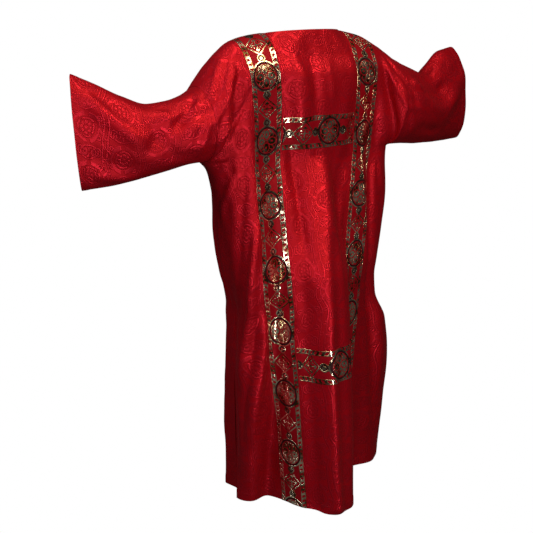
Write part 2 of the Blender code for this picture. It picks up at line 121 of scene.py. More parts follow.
# Slow unevenness of the cloth
WAVES = 14
WAVE_ACROSS = (0.035, 0.110)
WAVE_DOWN = (0.120, 0.420)
WAVE_LEAN = 0.25
SEEDS = {"back": 3, "front": 11, "left": 19, "right": 23}

# Gathers beside a sewn band
PUCKER_REACH = 0.007
PUCKER_LENGTH = 0.017

# Seams, hems and the calm strip along an edge
SEAM = 0.0002
SEAM_DIP = 0.0004
SEAM_REACH = 0.004
SLEEVE_CALM = 0.03
CLOSING_CALM = 0.1
EDGE_CALM = 0.02
HEM_RISE = 0.0006
HEM_STEP = 0.002
HEM_DEPTH = 0.022
CUFF_DEPTH = 0.018
SLEEVE_ROUND = 0.08
GALLOON_LIFT = 0.0001
CROSS_GAP = 0.0003

# Stitches
STITCH_SHAPE = {"segments": 5, "ring_count": 4, "radius": 1.0}
STITCH_INSET = 0.0022
NECK_HEM = 0.010
SLIT_HEM = 0.012
SLIT_STITCHED = 0.42

# Galloon figure, in millimetres: a petal and a leaf are a middle and two half sizes, and their
# lines are shares of those
REPEAT = 162.0
MEDALLION_R = 38.4
MEDALLION_RING = 35.6
MEDALLION_FIELD = 31.2
OUTER_LINE = (39.3, 41.7)
INNER_LINE = (29.2, 31.4)
DASHES = (31.4, 39.3)
DASH_PITCH = 12.46
DASH_SLANT = 0.5
DASH_SHARE = 0.50
PETAL = (16.4, 11.4, 8.8)
PETAL_LINE = (0.95, 1.16)
PETAL_EYE = 0.28
LEAF = (22.0, 6.4, 4.0)
LEAF_LINE = (1.0, 1.4)
MEDALLION_EYE = 2.0
FIELD_MARGIN = 1.6
DROP_PLACE = 46.0
DROP_SQUARE = 1.5
DROP_OUTER = 11.8
DROP_RING = 8.2
DROP_CORE = 4.6
DIAMOND_HALF = (30.5, 25.5)
DIAMOND_LINE = (0.925, 1.065)
ARM_HALF = 1.0
THREAD_PITCH = 0.9

# Beads of the cross in the diamond: how far to the side and along, and the radius
BEADS = rows("""
0.0 15.0 2.7
3.4 12.6 2.0
16.0 0.0 2.7
13.6 3.4 2.0
0.0 0.0 2.8
8.0 7.0 1.9
""")

# Damask figure, in millimetres
COLUMN_PITCH = 80.0
DAMASK_REPEAT = 118.0
EGG_LONG = 1.22
WARP = 2.0
WARP_LONG = 74.0
WARP_WIDE = 66.0
TWILL_PITCH = 0.8

# Height over which the cloth turns from the shoulder into the back or the front
SHOULDER_ROLL = 0.070

# Line of the shoulder on each side, from the neck to the top of the armhole
RIDGE = curves("""
left_x  0 112 160 196 222 251 280 312
left_z  10 3 -2 -10 -21 -44 -76 -118
right_x 0 112 140 170 208 241 280 312
right_z 10 4 -1 -8 -23 -40 -66 -83
""")

# Height of each panel's upper edge at the middle of the neck
NECK = {"back": 0.012, "front": -0.045}

# How far each panel hangs back or forward down its centre line
DEPTH = curves("""
z     20 -50 -100 -200 -300 -400 -510 -610 -780 -880 -1020 -1200
back  55 62 74 67 61 85 112 138 132 129 117 93
front 70 80 90 108 120 129 132 126 106 104 102 104
""")

# Side edges of each panel below the underarm: how far out and how far back they hang, and how
# far the cloth's centre line is carried to the wearer's left. The edges part at the side slits,
# which open below -0.780.
SIDES = curves("""
z             -305 -330 -360 -410 -510 -600 -650 -700 -780 -880 -1020 -1200
back_left     296 272 261 251 243 228 213 200 204 212 218 224
back_left_y   0 0 0 0 0 0 0 0 0 12 28 38
back_right    281 277 275 276 259 238 227 231 272 285 272 255
back_right_y  0 0 0 0 0 0 0 0 0 4 10 14
back_shift    -26 -14 -8 4 10 19 18 23 45 48 38 34
front_left    296 272 261 251 243 228 213 200 204 204 201 197
front_left_y  0 0 0 0 0 0 0 0 0 -2 -4 -4
front_right   281 277 275 276 259 238 227 231 272 280 270 250
front_right_y 0 0 0 0 0 0 0 0 0 -8 -14 -20
front_shift   0 0 0 0 0 0 0 0 0 0 0 0
""")

# Folds below the underarm: the height where the fold starts, where it lies along the unfolded
# section at its start, the knee and the hem, plus to the wearer's left of the centre line, how far
# it stands out at the knee and the hem, minus for a trough, half its width at the start and at the
# hem, and how square its top is.
FOLDS = {
    "back": rows("""
-240 221 228 224 26 17 40 42 2.0
0 202 182 206 42 4 35 33 2.0
-500 165 165 150 -4 -12 26 26 2.0
-240 29 47 40 104 167 68 82 4.0
-220 62 62 50 6 4 24 24 2.0
-300 -120 -140 -130 -10 -12 36 36 2.0
0 -215 -196 -205 -33 -4 35 29 2.0
-400 -215 -215 -200 8 12 28 28 2.0
"""),
    "front": rows("""
-360 190 190 200 12 20 34 34 2.0
-360 120 120 125 -14 -24 30 30 2.0
-400 40 50 60 14 26 34 34 2.0
-420 -10 -10 -10 -12 -22 30 30 2.0
-380 -65 -75 -85 16 28 36 36 2.0
-360 -140 -145 -150 -12 -22 30 30 2.0
-360 -210 -210 -220 12 20 34 34 2.0
"""),
}

# How far each part of the hem hangs below HEM, by distance across the cloth
HEM_LINE = curves("""
across -345 -240 -140 -60 60 120 200 345
back   -16 -12 -2 4 4 0 2 5
front  -10 0 4 0 4 0 2 0
""")

# Sleeves, by rings from the armhole to the cuff: how far out, the top and bottom edge, how far the
# ring's top reaches out beyond its middle, the middle forward or back, half the thickness, and how
# far the ring's back reaches out.
SLEEVES = curves("""
left_out     304 343 392 440 500 556 614
left_top     -118 -138 -150 -155 -133 -105 -78
left_bottom  -305 -308 -318 -328 -341 -348 -352
left_lean    0 0 0 0 2 6 10
right_out    304 340 380 415 458 503 552
right_top    -83 -96 -111 -122 -92 -62 -54
right_bottom -305 -306 -310 -312 -315 -315 -312
right_lean   0 0 0 0 -4 -8 -14
middle_y     0 0 -4 -10 -18 -26 -34
thick        85 80 72 64 52 42 34
reach        0 3 8 13 17 19 20
""")

# Drag folds above the underarm: half the width, how far out, and s and the share of the way down
# from the shoulder line at each end
YOKE_FOLDS = {
    "back": rows("""
22 -14 222 0.28 315 0.98
20 10 262 0.2 325 0.8
22 -12 -225 0.3 -315 0.98
22 7 70 0.22 62 0.95
20 -6 30 0.2 24 0.8
"""),
    "front": rows("""
22 -12 225 0.3 315 0.98
22 -12 -222 0.28 -315 0.98
"""),
}

# Sleeve folds: the angle round the sleeve at each end, 0 at the top and plus towards the back,
# how far out each end lies, half the width as an angle, and how far the fold stands out
SLEEVE_FOLDS = {
    "left": rows("""
0.9 1.7 350 460 0.28 -8
1.6 0.9 460 580 0.3 8
-1.2 -1.5 360 540 0.3 -8
"""),
    "right": rows("""
0.7 1.3 340 460 0.28 -10
1.9 1.1 440 560 0.3 8
-1.2 -1.5 360 540 0.3 -8
"""),
}

# Creases laid one by one on each sheet: half the width, how far out, minus for a trough, the shares
# of the length over which the ends die away, and the points that one runs through. On a panel a
# point is (s, v). On a sleeve it is (round, out): round is the angle round the sleeve times
# SLEEVE_ROUND, 0 at the top and plus towards the back, and out is measured from the armhole.
CREASES = {
    "back": rows("""
12 -7 0.3 0.2 196,150 226,190 262,212 300,240 322,305
10 4 0.4 0.0 228,150 262,172 300,186 345,196
10 -5 0.3 0.0 236,30 262,70 302,90 345,105
9 4 0.4 0.0 255,20 290,50 320,68 345,76
11 5 0.3 0.0 226,60 248,100 290,124 345,140
12 6 0.2 0.4 243,290 262,340 287,372 322,430 336,500
14 -6 0.2 0.3 228,300 240,370 252,426 268,540 296,655
12 -5 0.3 0.4 270,610 284,660 300,700 326,735
11 19 0.2 0.2 208,440 214,500 223,565 237,680 250,749 267,815 300,900
12 16 0.2 0.3 205,660 214,773 228,828 241,875 270,985 284,1070
10 -4 0.2 0.3 222,700 238,790 258,850 285,940 300,1040
12 4 0.3 0.3 312,780 318,880 312,990 318,1120
24 10 0.12 0.0 4,250 -8,384 -2,462 18,574 22,700 26,859 30,1190
28 -14 0.15 0.0 84,240 80,400 86,560 84,722 84,899 86,1190
110 15 0.2 0.2 -115,250 -40,235 40,235 108,250
11 3 0.4 0.4 64,120 54,180 43,225
10 3 0.4 0.4 -20,110 -26,170 -30,235
12 -3 0.4 0.4 19,80 18,150 12,225
13 10 0.3 0.0 16,560 24,700 27,860 30,1190
22 -12 0.25 0.35 76,270 72,400 70,600
8 3 0.3 0.5 106,290 107,330 105,380
13 -4 0.3 0.3 -60,330 -66,450 -52,600 -60,720
10 3 0.3 0.4 -92,400 -86,520 -94,660
12 -6 0.3 0.2 -236,130 -262,180 -300,230 -326,300
10 -4 0.3 0.0 -240,40 -272,78 -312,100 -345,112
10 4 0.3 0.0 -230,80 -262,120 -300,146 -345,160
11 4 0.2 0.4 -232,330 -246,440 -262,560 -300,680
13 -5 0.2 0.4 -272,400 -286,520 -296,660
12 5 0.2 0.2 -222,760 -236,880 -262,1020 -270,1140
14 -5 0.3 0.3 -290,740 -302,880 -298,1080
"""),
    "front": rows("""
12 -6 0.3 0.2 200,140 232,186 270,214 306,246 326,305
10 -4 0.3 0.0 238,40 268,82 304,104 345,118
11 4 0.3 0.0 226,70 252,112 292,140 345,156
13 -6 0.3 0.2 -204,150 -236,196 -276,226 -322,300
11 4 0.3 0.0 -232,46 -262,88 -300,112 -345,124
9 -4 0.4 0.0 -246,20 -284,56 -320,74 -345,82
12 5 0.2 0.4 240,300 254,420 268,560 290,720
13 -5 0.3 0.3 286,420 296,560 306,740
11 5 0.2 0.2 222,640 236,800 262,960 280,1120
14 -4 0.3 0.3 70,180 62,330 74,500 66,700
12 5 0.3 0.1 30,260 38,430 30,640 40,900 50,1120
16 -6 0.3 0.1 88,620 84,800 92,1000 86,1120
11 -3 0.3 0.4 -26,220 -20,400 -34,560
12 5 0.3 0.1 -70,300 -78,480 -66,740 -80,1100
16 -5 0.3 0.1 -30,700 -38,900 -30,1120
11 4 0.2 0.4 -232,320 -244,480 -266,640
14 -5 0.3 0.4 -282,360 -292,540 -304,700
12 5 0.2 0.2 -222,700 -240,860 -256,1000 -270,1130
13 -4 0.3 0.3 -300,800 -310,940 -304,1100
"""),
    "left": rows("""
10 -4 0.3 0.5 84,0 98,16 118,40 150,60
11 -6 0.3 0.4 30,22 61,58 86,82 120,110
10 5 0.3 0.4 24,4 56,30 90,55 128,78
11 5 0.3 0.4 100,10 126,24 160,36 200,42
16 5 0.1 0.4 60,300 90,243 118,179 140,140
18 -6 0.2 0.4 70,160 104,140 150,112 200,80
16 -4 0.1 0.5 150,300 170,230 186,160
13 4 0.1 0.5 190,290 206,220 214,130
10 4 0.4 0.4 40,130 70,110 104,100
12 -6 0.2 0.4 -60,10 -90,40 -130,70 -180,90
11 5 0.3 0.4 -40,60 -76,100 -120,130
15 5 0.1 0.5 -80,290 -110,210 -140,150
14 -5 0.1 0.4 -150,300 -176,220 -196,120
"""),
    "right": rows("""
10 5 0.3 0.4 66,3 78,40 89,74
10 -5 0.2 0.5 90,0 112,24 140,46
13 -6 0.2 0.3 36,80 58,121 83,156 100,190
12 4 0.3 0.3 16,100 34,150 50,210
13 4 0.2 0.2 110,70 126,120 130,190 120,250
13 -5 0.3 0.4 160,40 176,100 180,170
11 4 0.3 0.4 130,10 160,30 196,40
12 -6 0.2 0.4 -56,12 -86,44 -126,72
11 5 0.3 0.4 -36,60 -70,96 -110,130
14 -4 0.1 0.5 -100,240 -124,180 -150,130
13 4 0.1 0.4 -160,240 -180,170 -200,90
"""),
}

# Lengths over which a fold fades: at a panel's side edge, below its start, at the armhole, past
# the ends of a drag fold, at the yoke's top and bottom, and along a sleeve
EDGE_FADE = 0.05
START_FADE = 0.12
ARMHOLE_FADE = 0.03
END_FADE = (-0.15, 0.35)
UPPER_FADE = (0.12, 0.10)
SLEEVE_FADE = 0.03

# Shape of the sections: how square they are, the yoke's half width, how soon the cloth falls below
# the shoulder, half the armhole's thickness and how far into a sleeve its shape is carried
SECTION_SQUARE = 2.23
YOKE_SQUARE = 2.6
YOKE_HALF = 0.335
FALL_POWER = 1.5
GATHER_SHARE = 0.84
ARMHOLE_THICK = 0.085
ARMHOLE_CARRY = 0.45

# Distance along each band to a medallion's middle
BAND_START = {"left": 0.127, "right": 0.125, "upper": -0.020, "lower": -0.004}

# Finishes
SILK_TINT = (1.0, 0.50, 0.54, 1.0)
OUTLINE_SHARE = 0.24
SHADE_DARKEST = 0.90
SHADE_SPAN = 0.18
LINE_ROUGHNESS = 0.10
FINE_ROUGHNESS = 0.06
CLOTH_SPECULAR = 0.32
GALLOON_SPECULAR = 0.12
SHEEN_WEIGHT = 0.02
SHEEN_ROUGHNESS = 0.35
SHEEN_TINT = (1.0, 0.35, 0.35, 1.0)
# Relief in millimetres: of the damask's figure, outline, twill and fine noise, and of the
# galloon's gold, its threads, the fine noise on it, the middle noise and the slow noise
DAMASK_RELIEF = (0.38, -0.30, 0.006, 0.02)
GALLOON_RELIEF = (0.25, 0.02, 0.02, 0.10, 3.6)

# Scales of the noise
GALLOON_SLOW = 28.0
GALLOON_MIDDLE = 130.0
GALLOON_FINE = 420.0
THREAD_NOISE = 900.0

# Studio: each light has its width and height, its place and its tone
FLOOR_SIZE = 40.0
FLOOR_Z = -1.46
FLOOR_COLOUR = (0.12, 0.12, 0.12, 1.0)
FLOOR_ROUGHNESS = 0.8
WHITE = (1.0, 1.0, 1.0, 1.0)
LIGHT_AIM = Vector((0.0, 0.05, -0.45))
PLAIN_LIGHT = (1.0, 1.0, 1.0)
WARM_LIGHT = (1.0, 0.86, 0.60)
LIGHTS = {
    "Key": (0.5, 0.5, (-0.36, 1.15, 0.90), WARM_LIGHT),
    "Top": (0.9, 0.9, (0.445, 0.374, 1.447), WARM_LIGHT),
    "Strip": (0.12, 1.2, (0.45, 2.05, -0.60), PLAIN_LIGHT),
    "Left": (0.5, 0.5, (1.40, 1.15, 0.30), PLAIN_LIGHT),
    "Side": (0.5, 0.5, (1.75, -0.15, 0.45), PLAIN_LIGHT),
}
SENSOR = 36.0
LENS = 80.92
CAMERA_PLACE = (1.7794, 2.5389, 0.15)
CAMERA_LOOK = Vector((-0.53494, -0.81052, -0.23853))


def blend(low, high, value):
    """0 up to low, 1 from high, and smooth between them."""
    share = np.clip((value - low) / (high - low), 0.0, 1.0)
    return share * share * (3.0 - 2.0 * share)


def bell(value):
    return np.exp(-(value**2))


def read(at, places, values):
    """A smooth curve through the table's values that never overshoots them."""
    order = np.argsort(places)
    places, values = np.array(places)[order], np.array(values)[order]
    steps = np.diff(places)
    slopes = np.diff(values) / steps
    tangents = np.concatenate([slopes[:1], np.zeros(len(slopes) - 1), slopes[-1:]])
    for i in range(1, len(slopes)):
        if slopes[i - 1] * slopes[i] > 0:
            tangents[i] = 2 * slopes[i - 1] * slopes[i] / (slopes[i - 1] + slopes[i])
    at = np.clip(at, places[0], places[-1])
    i = np.clip(np.searchsorted(places, at, side="right") - 1, 0, len(steps) - 1)
    t = (at - places[i]) / steps[i]
    return (
        (2 * t**3 - 3 * t**2 + 1) * values[i]
        + (t**3 - 2 * t**2 + t) * steps[i] * tangents[i]
        + (3 * t**2 - 2 * t**3) * values[i + 1]
        + (t**3 - t**2) * steps[i] * tangents[i + 1]
    )


def along(points):
    """Distance along a line of points."""
    return np.concatenate([[0.0], np.cumsum(np.linalg.norm(np.diff(points, axis=0), axis=1))])


def unit(vectors):
    return vectors / np.linalg.norm(vectors, axis=-1, keepdims=True)


def side_at(face, name, z):
    return read(z, SIDES["z"], SIDES[f"{face}_{name}"])


def folded_section(face, z):
    """The panel's section at height z, from its right side edge to its left, as dense (x, y)."""
    turn = TURN[face]
    depth = turn * read(z, DEPTH["z"], DEPTH[face])
    angle = np.linspace(-math.pi / 2, math.pi / 2, DENSE)
    half = np.where(angle >= 0, side_at(face, "left", z), side_at(face, "right", z))
    edge = np.where(angle >= 0, side_at(face, "left_y", z), side_at(face, "right_y", z))
    edge += turn * SEAM / 2
    out = np.sign(angle) * np.abs(np.sin(angle)) ** (2 / SECTION_SQUARE)
    line = np.stack([half * out, edge + (depth - edge) * np.cos(angle) ** (2 / SECTION_SQUARE)], axis=1)
    run = along(line)
    place = run - run[DENSE // 2]
    tangent = unit(np.gradient(line, axis=0))
    normal = turn * np.stack([-tangent[:, 1], tangent[:, 0]], axis=1)
    near_edge = blend(0.0, EDGE_FADE, place - place[0]) * blend(0.0, EDGE_FADE, place[-1] - place)
    for starts, top_at, knee_at, hem_at, knee_out, hem_out, top_half, hem_half, square in FOLDS[face]:
        if z < starts:
            stages = (starts, KNEE, HEM)
            at = read(z, stages, (top_at, knee_at, hem_at))
            rise = read(z, stages, (0.0, knee_out, hem_out)) * blend(0.0, START_FADE, starts - z)
            half_width = read(z, stages, (top_half, hem_half, hem_half))
            rise = rise * near_edge * np.exp(-(np.abs((place - at) / half_width) ** square))
            line += rise[:, None] * normal
    return line


def lower_row(face, z):
    """Points at height z at every place across the cloth."""
    line = folded_section(face, z)
    run = along(line)
    shift = side_at(face, "shift", z)
    place = run - run[-1] / 2 - shift
    reach = np.where(ACROSS > 0, run[-1] / 2 - shift, run[-1] / 2 + shift)
    size = np.abs(ACROSS)
    beyond = CLAVUS_OUT + (size - CLAVUS_OUT) * (reach - CLAVUS_OUT) / (PANEL_HALF - CLAVUS_OUT)
    at = np.sign(ACROSS) * np.where(size > CLAVUS_OUT, beyond, size)
    drop = read(ACROSS, HEM_LINE["across"], HEM_LINE[face]) * blend(0.0, 1.0, (KNEE - z) / (KNEE - HEM))
    return np.stack([np.interp(at, place, line[:, 0]), np.interp(at, place, line[:, 1]), z - drop], axis=1)


def shoulder_line():
    """(x, z) along the shoulders, at every place across the cloth."""
    line = np.zeros((len(ACROSS), 2))
    size = np.abs(ACROSS)
    for side, half in (("left", ACROSS >= 0), ("right", ACROSS < 0)):
        xs = np.linspace(NECK_HALF * SHOULDER_SPREAD, RIDGE[f"{side}_x"][-1], DENSE)
        zs = read(xs, RIDGE[f"{side}_x"], RIDGE[f"{side}_z"])
        run = along(np.stack([xs, zs], axis=1))
        at = (np.minimum(size, CLAVUS_OUT) - NECK_HALF) * SHOULDER_SPREAD
        share = np.maximum(size - CLAVUS_OUT, 0.0) / (PANEL_HALF - CLAVUS_OUT)
        at += (run[-1] - at) * share
        x = np.where(size <= NECK_HALF, size * SHOULDER_SPREAD, np.interp(at, run, xs))
        line[half] = np.stack([x * SIGN[side], np.interp(at, run, zs)], axis=1)[half]
    return line


def upper_rows(face):
    """Rows of points from the shoulder line and neck, share 0, to the underarm, share 1."""
    top = shoulder_line()
    under = lower_row(face, UNDERARM)
    size = np.abs(ACROSS)
    across = np.clip(size / NECK_HALF, 0.0, 1.0)
    neck_z = NECK[face] + (top[:, 1] - NECK[face]) * (1 - np.sqrt(1 - across**2))
    top_z = np.where(size <= NECK_HALF, neck_z, top[:, 1])
    hidden_top = top_z + SHOULDER_ROLL * (1 - across)
    armhole = blend(CLAVUS_OUT, PANEL_HALF, size)

    def hung(share):
        fall = armhole * (1 - math.cos(math.pi * share)) / 2 + (1 - armhole) * share**FALL_POWER
        z = top_z + (UNDERARM - top_z) * fall
        x = top[:, 0] + (under[:, 0] - top[:, 0]) * blend(0.0, GATHER_SHARE, share)
        drop = np.clip((hidden_top - z) / SHOULDER_ROLL, 0.0, 1.0)
        roll = np.sqrt(1 - (1 - drop) ** 2)
        lateral = np.sqrt(np.clip(1 - (np.abs(x) / YOKE_HALF) ** YOKE_SQUARE, 0.0, 1.0))
        depth = read(z, DEPTH["z"], DEPTH[face]) * lateral * roll
        y = armhole * ARMHOLE_THICK * math.sin(math.pi * share) + (1 - armhole) * depth
        return np.stack([x, TURN[face] * np.maximum(y, SEAM / 2), z], axis=1)

    miss = under - hung(1.0)
    return np.array([hung(share) + share**2 * miss for share in SHARES])


def outward(grid, way):
    """Unit normals of a grid of points; way is 1 or -1, for the side that they are on."""
    return unit(np.cross(np.gradient(grid, axis=0), np.gradient(grid, axis=1))) * way


def crease_rise(creases, across, down, before=0.0):
    """Height of creases over a sheet; before is the share of a line by which its fades are moved."""
    total = np.zeros(across.shape)
    for half_width, out, head, tail, *points in creases:
        line = np.reshape(points, (-1, 2))
        run = along(line)
        best = np.full(across.shape, np.inf)
        share = np.zeros(across.shape)
        for start, end, gone, ahead in zip(line, line[1:], run, run[1:]):
            way = end - start
            t = ((across - start[0]) * way[0] + (down - start[1]) * way[1]) / way.dot(way)
            t = np.clip(t, 0.0, 1.0)
            off = np.hypot(across - start[0] - t * way[0], down - start[1] - t * way[1])
            share = np.where(off < best, (gone + t * (ahead - gone)) / run[-1], share)
            best = np.minimum(off, best)
        for fade, left in ((head, share), (tail, 1.0 - share)):
            out = out * (blend(before, fade, left) if fade > 0 else 1.0)
        total += out * bell(best / half_width)
    return total


def undulation(across, down, seed, height):
    """A slow unevenness, longer down the cloth than across it."""
    draw = np.random.default_rng(seed)
    total = np.zeros(across.shape)
    for _ in range(WAVES):
        wide = draw.uniform(*WAVE_ACROSS)
        long = draw.uniform(*WAVE_DOWN)
        lean = draw.uniform(-1.0, 1.0) * WAVE_LEAN
        phase = draw.uniform(0.0, math.tau)
        total += np.sin(math.tau * ((across + lean * down) / wide + down / long) + phase)
    return height * total / math.sqrt(WAVES)


def pucker(across, down, seed, height):
    """Small gathers in the cloth beside each edge of the clavi."""
    draw = np.random.default_rng(seed)
    total = np.zeros(across.shape)
    for edge in (-CLAVUS_OUT, -CLAVUS_IN, CLAVUS_IN, CLAVUS_OUT):
        near = bell((across - edge) / PUCKER_REACH)
        uneven = 1.0 + 0.6 * np.sin(down / PUCKER_LENGTH * draw.uniform(0.7, 1.1) + draw.uniform(0, 6))
        turn = down / PUCKER_LENGTH * math.tau + 2.0 * np.sin(down * draw.uniform(14, 22))
        total += height * near * uneven * np.sin(turn)
    return total


@functools.cache
def panel(face):
    """A panel's middle surface: rows down, columns from the wearer's right to left.

    Shapes are kept until the back and the front are hung again.
    """
    across, down = np.meshgrid(ACROSS, DOWN)
    upper = upper_rows(face)
    yoke = slice(0, len(SHARES))
    t = down[yoke] / YOKE_LENGTH
    fade = blend(0.0, UPPER_FADE[0], t) * blend(0.0, UPPER_FADE[1], 1.0 - t)
    fade = fade * blend(0.0, ARMHOLE_FADE, PANEL_HALF - np.abs(across[yoke]))
    low, high = END_FADE
    drags = [
        (half, out, high, high, s0, t0 * YOKE_LENGTH, s1, t1 * YOKE_LENGTH)
        for half, out, s0, t0, s1, t1 in YOKE_FOLDS[face]
    ]
    rise = crease_rise(drags, across[yoke], down[yoke], low) * fade
    upper = upper + rise[:, :, None] * outward(upper, -TURN[face])
    grid = np.concatenate([upper, [lower_row(face, z) for z in HEIGHTS]])
    cloth = settings(bpy.context)[0]
    rise = crease_rise(CREASES[face], across, down) * cloth.crease_height
    rise += undulation(across, down, SEEDS[face], cloth.undulation)
    rise += pucker(across, down, SEEDS[face], cloth.pucker)
    inward = PANEL_HALF - np.abs(across)
    side_seam = blend(YOKE_LENGTH - EDGE_CALM, YOKE_LENGTH, down)
    fade = 1 - side_seam * (1 - blend(0.0, EDGE_CALM, inward))
    hem_line = blend(0.0, HEM_STEP, DOWN[-1] - down - HEM_DEPTH) * HEM_RISE
    rise = rise * fade * blend(0.0, EDGE_CALM, down) - hem_line
    rise -= SEAM_DIP * bell(inward / SEAM_REACH)
    return grid + rise[:, :, None] * outward(grid, -TURN[face])


def galloon_lift():
    """Distance from the middle of the damask to the middle of a galloon that lies on it."""
    cloth, galloon = settings(bpy.context)[:2]
    return cloth.thickness / 2 + GALLOON_LIFT + galloon.thickness / 2


@functools.cache
def raised(face):
    """The middle of a galloon that covers the whole panel."""
    return panel(face) + outward(panel(face), -TURN[face]) * galloon_lift()


def run_of(grid, axis):
    """Distance over a grid, down each column or along each row, from its first point."""
    steps = np.linalg.norm(np.diff(grid, axis=axis), axis=2)
    return np.insert(np.cumsum(steps, axis=axis), 0, 0.0, axis=axis)


@functools.cache
def armhole_edge(side):
    """The panels' edges round an armhole, from the underarm up the front and down the back."""
    column = -1 if side == "left" else 0
    back, front = (panel(face)[: len(SHARES), column] for face in FACES)
    edge = np.concatenate([front[::-1], back[1:]])
    edge[0] = edge[-1] = (front[-1] + back[-1]) / 2
    edge[len(SHARES) - 1] = (front[0] + back[0]) / 2
    return edge


def sleeve_points(side, rings, turns):
    """Rings of points from the armhole's edge to the cuff; turns is each point's angle."""
    outs = SLEEVES[f"{side}_out"]
    names = (f"{side}_top", f"{side}_bottom", f"{side}_lean", "middle_y", "thick", "reach")
    back, top_way = np.sin(turns), np.cos(turns)
    grid = []
    for share in rings:
        out = outs[0] + (outs[-1] - outs[0]) * share
        top, bottom, lean, middle_y, thick, reach = (read(out, outs, SLEEVES[name]) for name in names)
        x = out + reach * back + lean * top_way
        y = middle_y + thick * back
        z = (top + bottom) / 2 + (top - bottom) / 2 * top_way
        for turn_from, turn_to, from_out, to_out, half_turn, fold_out in SLEEVE_FOLDS[side]:
            at = np.interp(out, (from_out, to_out), (turn_from, turn_to))
            near = blend(-SLEEVE_FADE, SLEEVE_FADE, out - from_out)
            near *= blend(-SLEEVE_FADE, SLEEVE_FADE, to_out - out)
            off = (turns - at + math.pi) % math.tau - math.pi
            rise = fold_out * near * bell(off / half_turn)
            y += rise * back
            z += rise * top_way
        grid.append(np.stack([SIGN[side] * x, y, z], axis=1))
    grid = np.array(grid)
    fade = (1 - rings / ARMHOLE_CARRY).clip(0.0, 1.0) ** 2
    return grid + fade[:, None, None] * (armhole_edge(side) - grid[0])


@functools.cache
def sleeve(side):
    """A sleeve's middle surface, its distance out and its distance down from the top fold."""
    turns = np.concatenate([-SHARES[::-1], SHARES[1:]]) * math.pi
    grid = sleeve_points(side, np.linspace(0.0, 1.0, SLEEVE_STEPS + 1), turns)
    out = run_of(grid, 0).mean(axis=1)
    run = run_of(grid, 1)
    down = run - run[:, len(SHARES) - 1][:, None]
    cloth = settings(bpy.context)[0]
    place = np.meshgrid(turns * SLEEVE_ROUND, out)
    rise = crease_rise(CREASES[side], *place) * cloth.crease_height
    rise += undulation(*place, SEEDS[side], cloth.undulation)
    far_out = out[:, None]
    closing = blend(0.0, CLOSING_CALM, math.pi - np.abs(turns))
    rise = rise * blend(0.0, SLEEVE_CALM, far_out) * closing - SEAM_DIP * bell(far_out / SEAM_REACH)
    rise = rise - blend(0.0, HEM_STEP, out[-1] - far_out - CUFF_DEPTH) * HEM_RISE
    grid = grid + rise[:, :, None] * outward(grid, SIGN[side])
    grid[:, -1] = grid[:, 0]
    return grid, out, down


def clavus_strip(side):
    """The middle of a clavus from the back hem over the shoulder to the front hem, and its columns."""
    size = ACROSS * SIGN[side]
    at = np.flatnonzero((size >= CLAVUS_IN - MERGE) & (size <= CLAVUS_OUT + MERGE))
    back, front = (raised(face)[:, at] for face in FACES)
    crown = (back[0] + front[0]) / 2
    crown[:, 2] = panel("back")[0, at, 2] + galloon_lift()
    return np.concatenate([back[:0:-1], crown[None], front[1:]]), at


def cross_strip(face, place):
    """The middle of a cross band, and its columns."""
    at = np.flatnonzero(np.abs(ACROSS) <= CLAVUS_IN - CROSS_GAP)
    first = YOKE_STEPS if place == "upper" else len(SHARES) + BODY_STEPS - 1
    return raised(face)[first : first + BAND_STEPS + 1, at[0] : at[-1] + 1], at


def settings(context):
    """The garment's sizes and colours, as the panel shows them."""
    return [getattr(context.scene, name) for name in GROUPS]


def deselect():
    if bpy.context.mode != "OBJECT":
        bpy.ops.object.mode_set(mode="OBJECT")
    bpy.ops.object.select_all(action="DESELECT")


def sheet_object(name, node, slot, grid, u, v, finish, thickness, way=UP, closed=False):
    """A thin shell on a grid of points, in its CAD node's place, with (u, v) as its UV map.

    The side furthest along way is its face.
    """
    deselect()
    shape = grid.shape[:2]
    bpy.ops.mesh.primitive_grid_add(x_subdivisions=shape[1] - 1, y_subdivisions=shape[0] - 1, calc_uvs=True)
    piece = bpy.context.object
    mesh = piece.data
    piece.name = mesh.name = name
    mesh.vertices.foreach_set("co", grid.reshape(-1))
    corners = np.empty(len(mesh.loops), np.int32)
    mesh.loops.foreach_get("vertex_index", corners)
    uv = np.stack([np.broadcast_to(u, shape), np.broadcast_to(v, shape)], axis=2).reshape(-1, 2)
    layer = mesh.uv_layers[0]
    layer.name = CLOTH_MAP
    layer.data.foreach_set("uv", uv[corners].reshape(-1))
    mesh.update()
    if closed:
        bpy.ops.object.mode_set(mode="EDIT")
        bpy.ops.mesh.select_all(action="SELECT")
        bpy.ops.mesh.remove_doubles(threshold=MERGE)
        bpy.ops.object.mode_set(mode="OBJECT")
    mesh.materials.append(finish)
    furthest = max(mesh.polygons, key=lambda face: face.center.dot(way))
    if furthest.normal.dot(way) < 0:
        mesh.flip_normals()
    wall = piece.modifiers.new("Wall", "SOLIDIFY")
    wall.thickness = thickness
    wall.offset = 0.0
    wall.use_even_offset = False
    bpy.ops.object.modifier_apply(modifier=wall.name)
    bpy.ops.object.shade_smooth_by_angle(angle=math.radians(EDGE_ANGLE))
    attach(piece, "root")
    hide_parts(node)
    return piece


def feed(tree, slot, value):
    """Sets an input, or links it to a socket or a field."""
    value = value.socket if isinstance(value, Field) else value
    if isinstance(value, bpy.types.NodeSocket):
        tree.links.new(value, slot)
    else:
        slot.default_value = value


def add(tree, kind, inputs, **options):
    """A shader node with these options and inputs."""
    node = tree.nodes.new("ShaderNode" + kind)
    for name, value in options.items():
        setattr(node, name, value)
    for name, value in inputs.items():
        feed(tree, node.inputs[name], value)
    return node


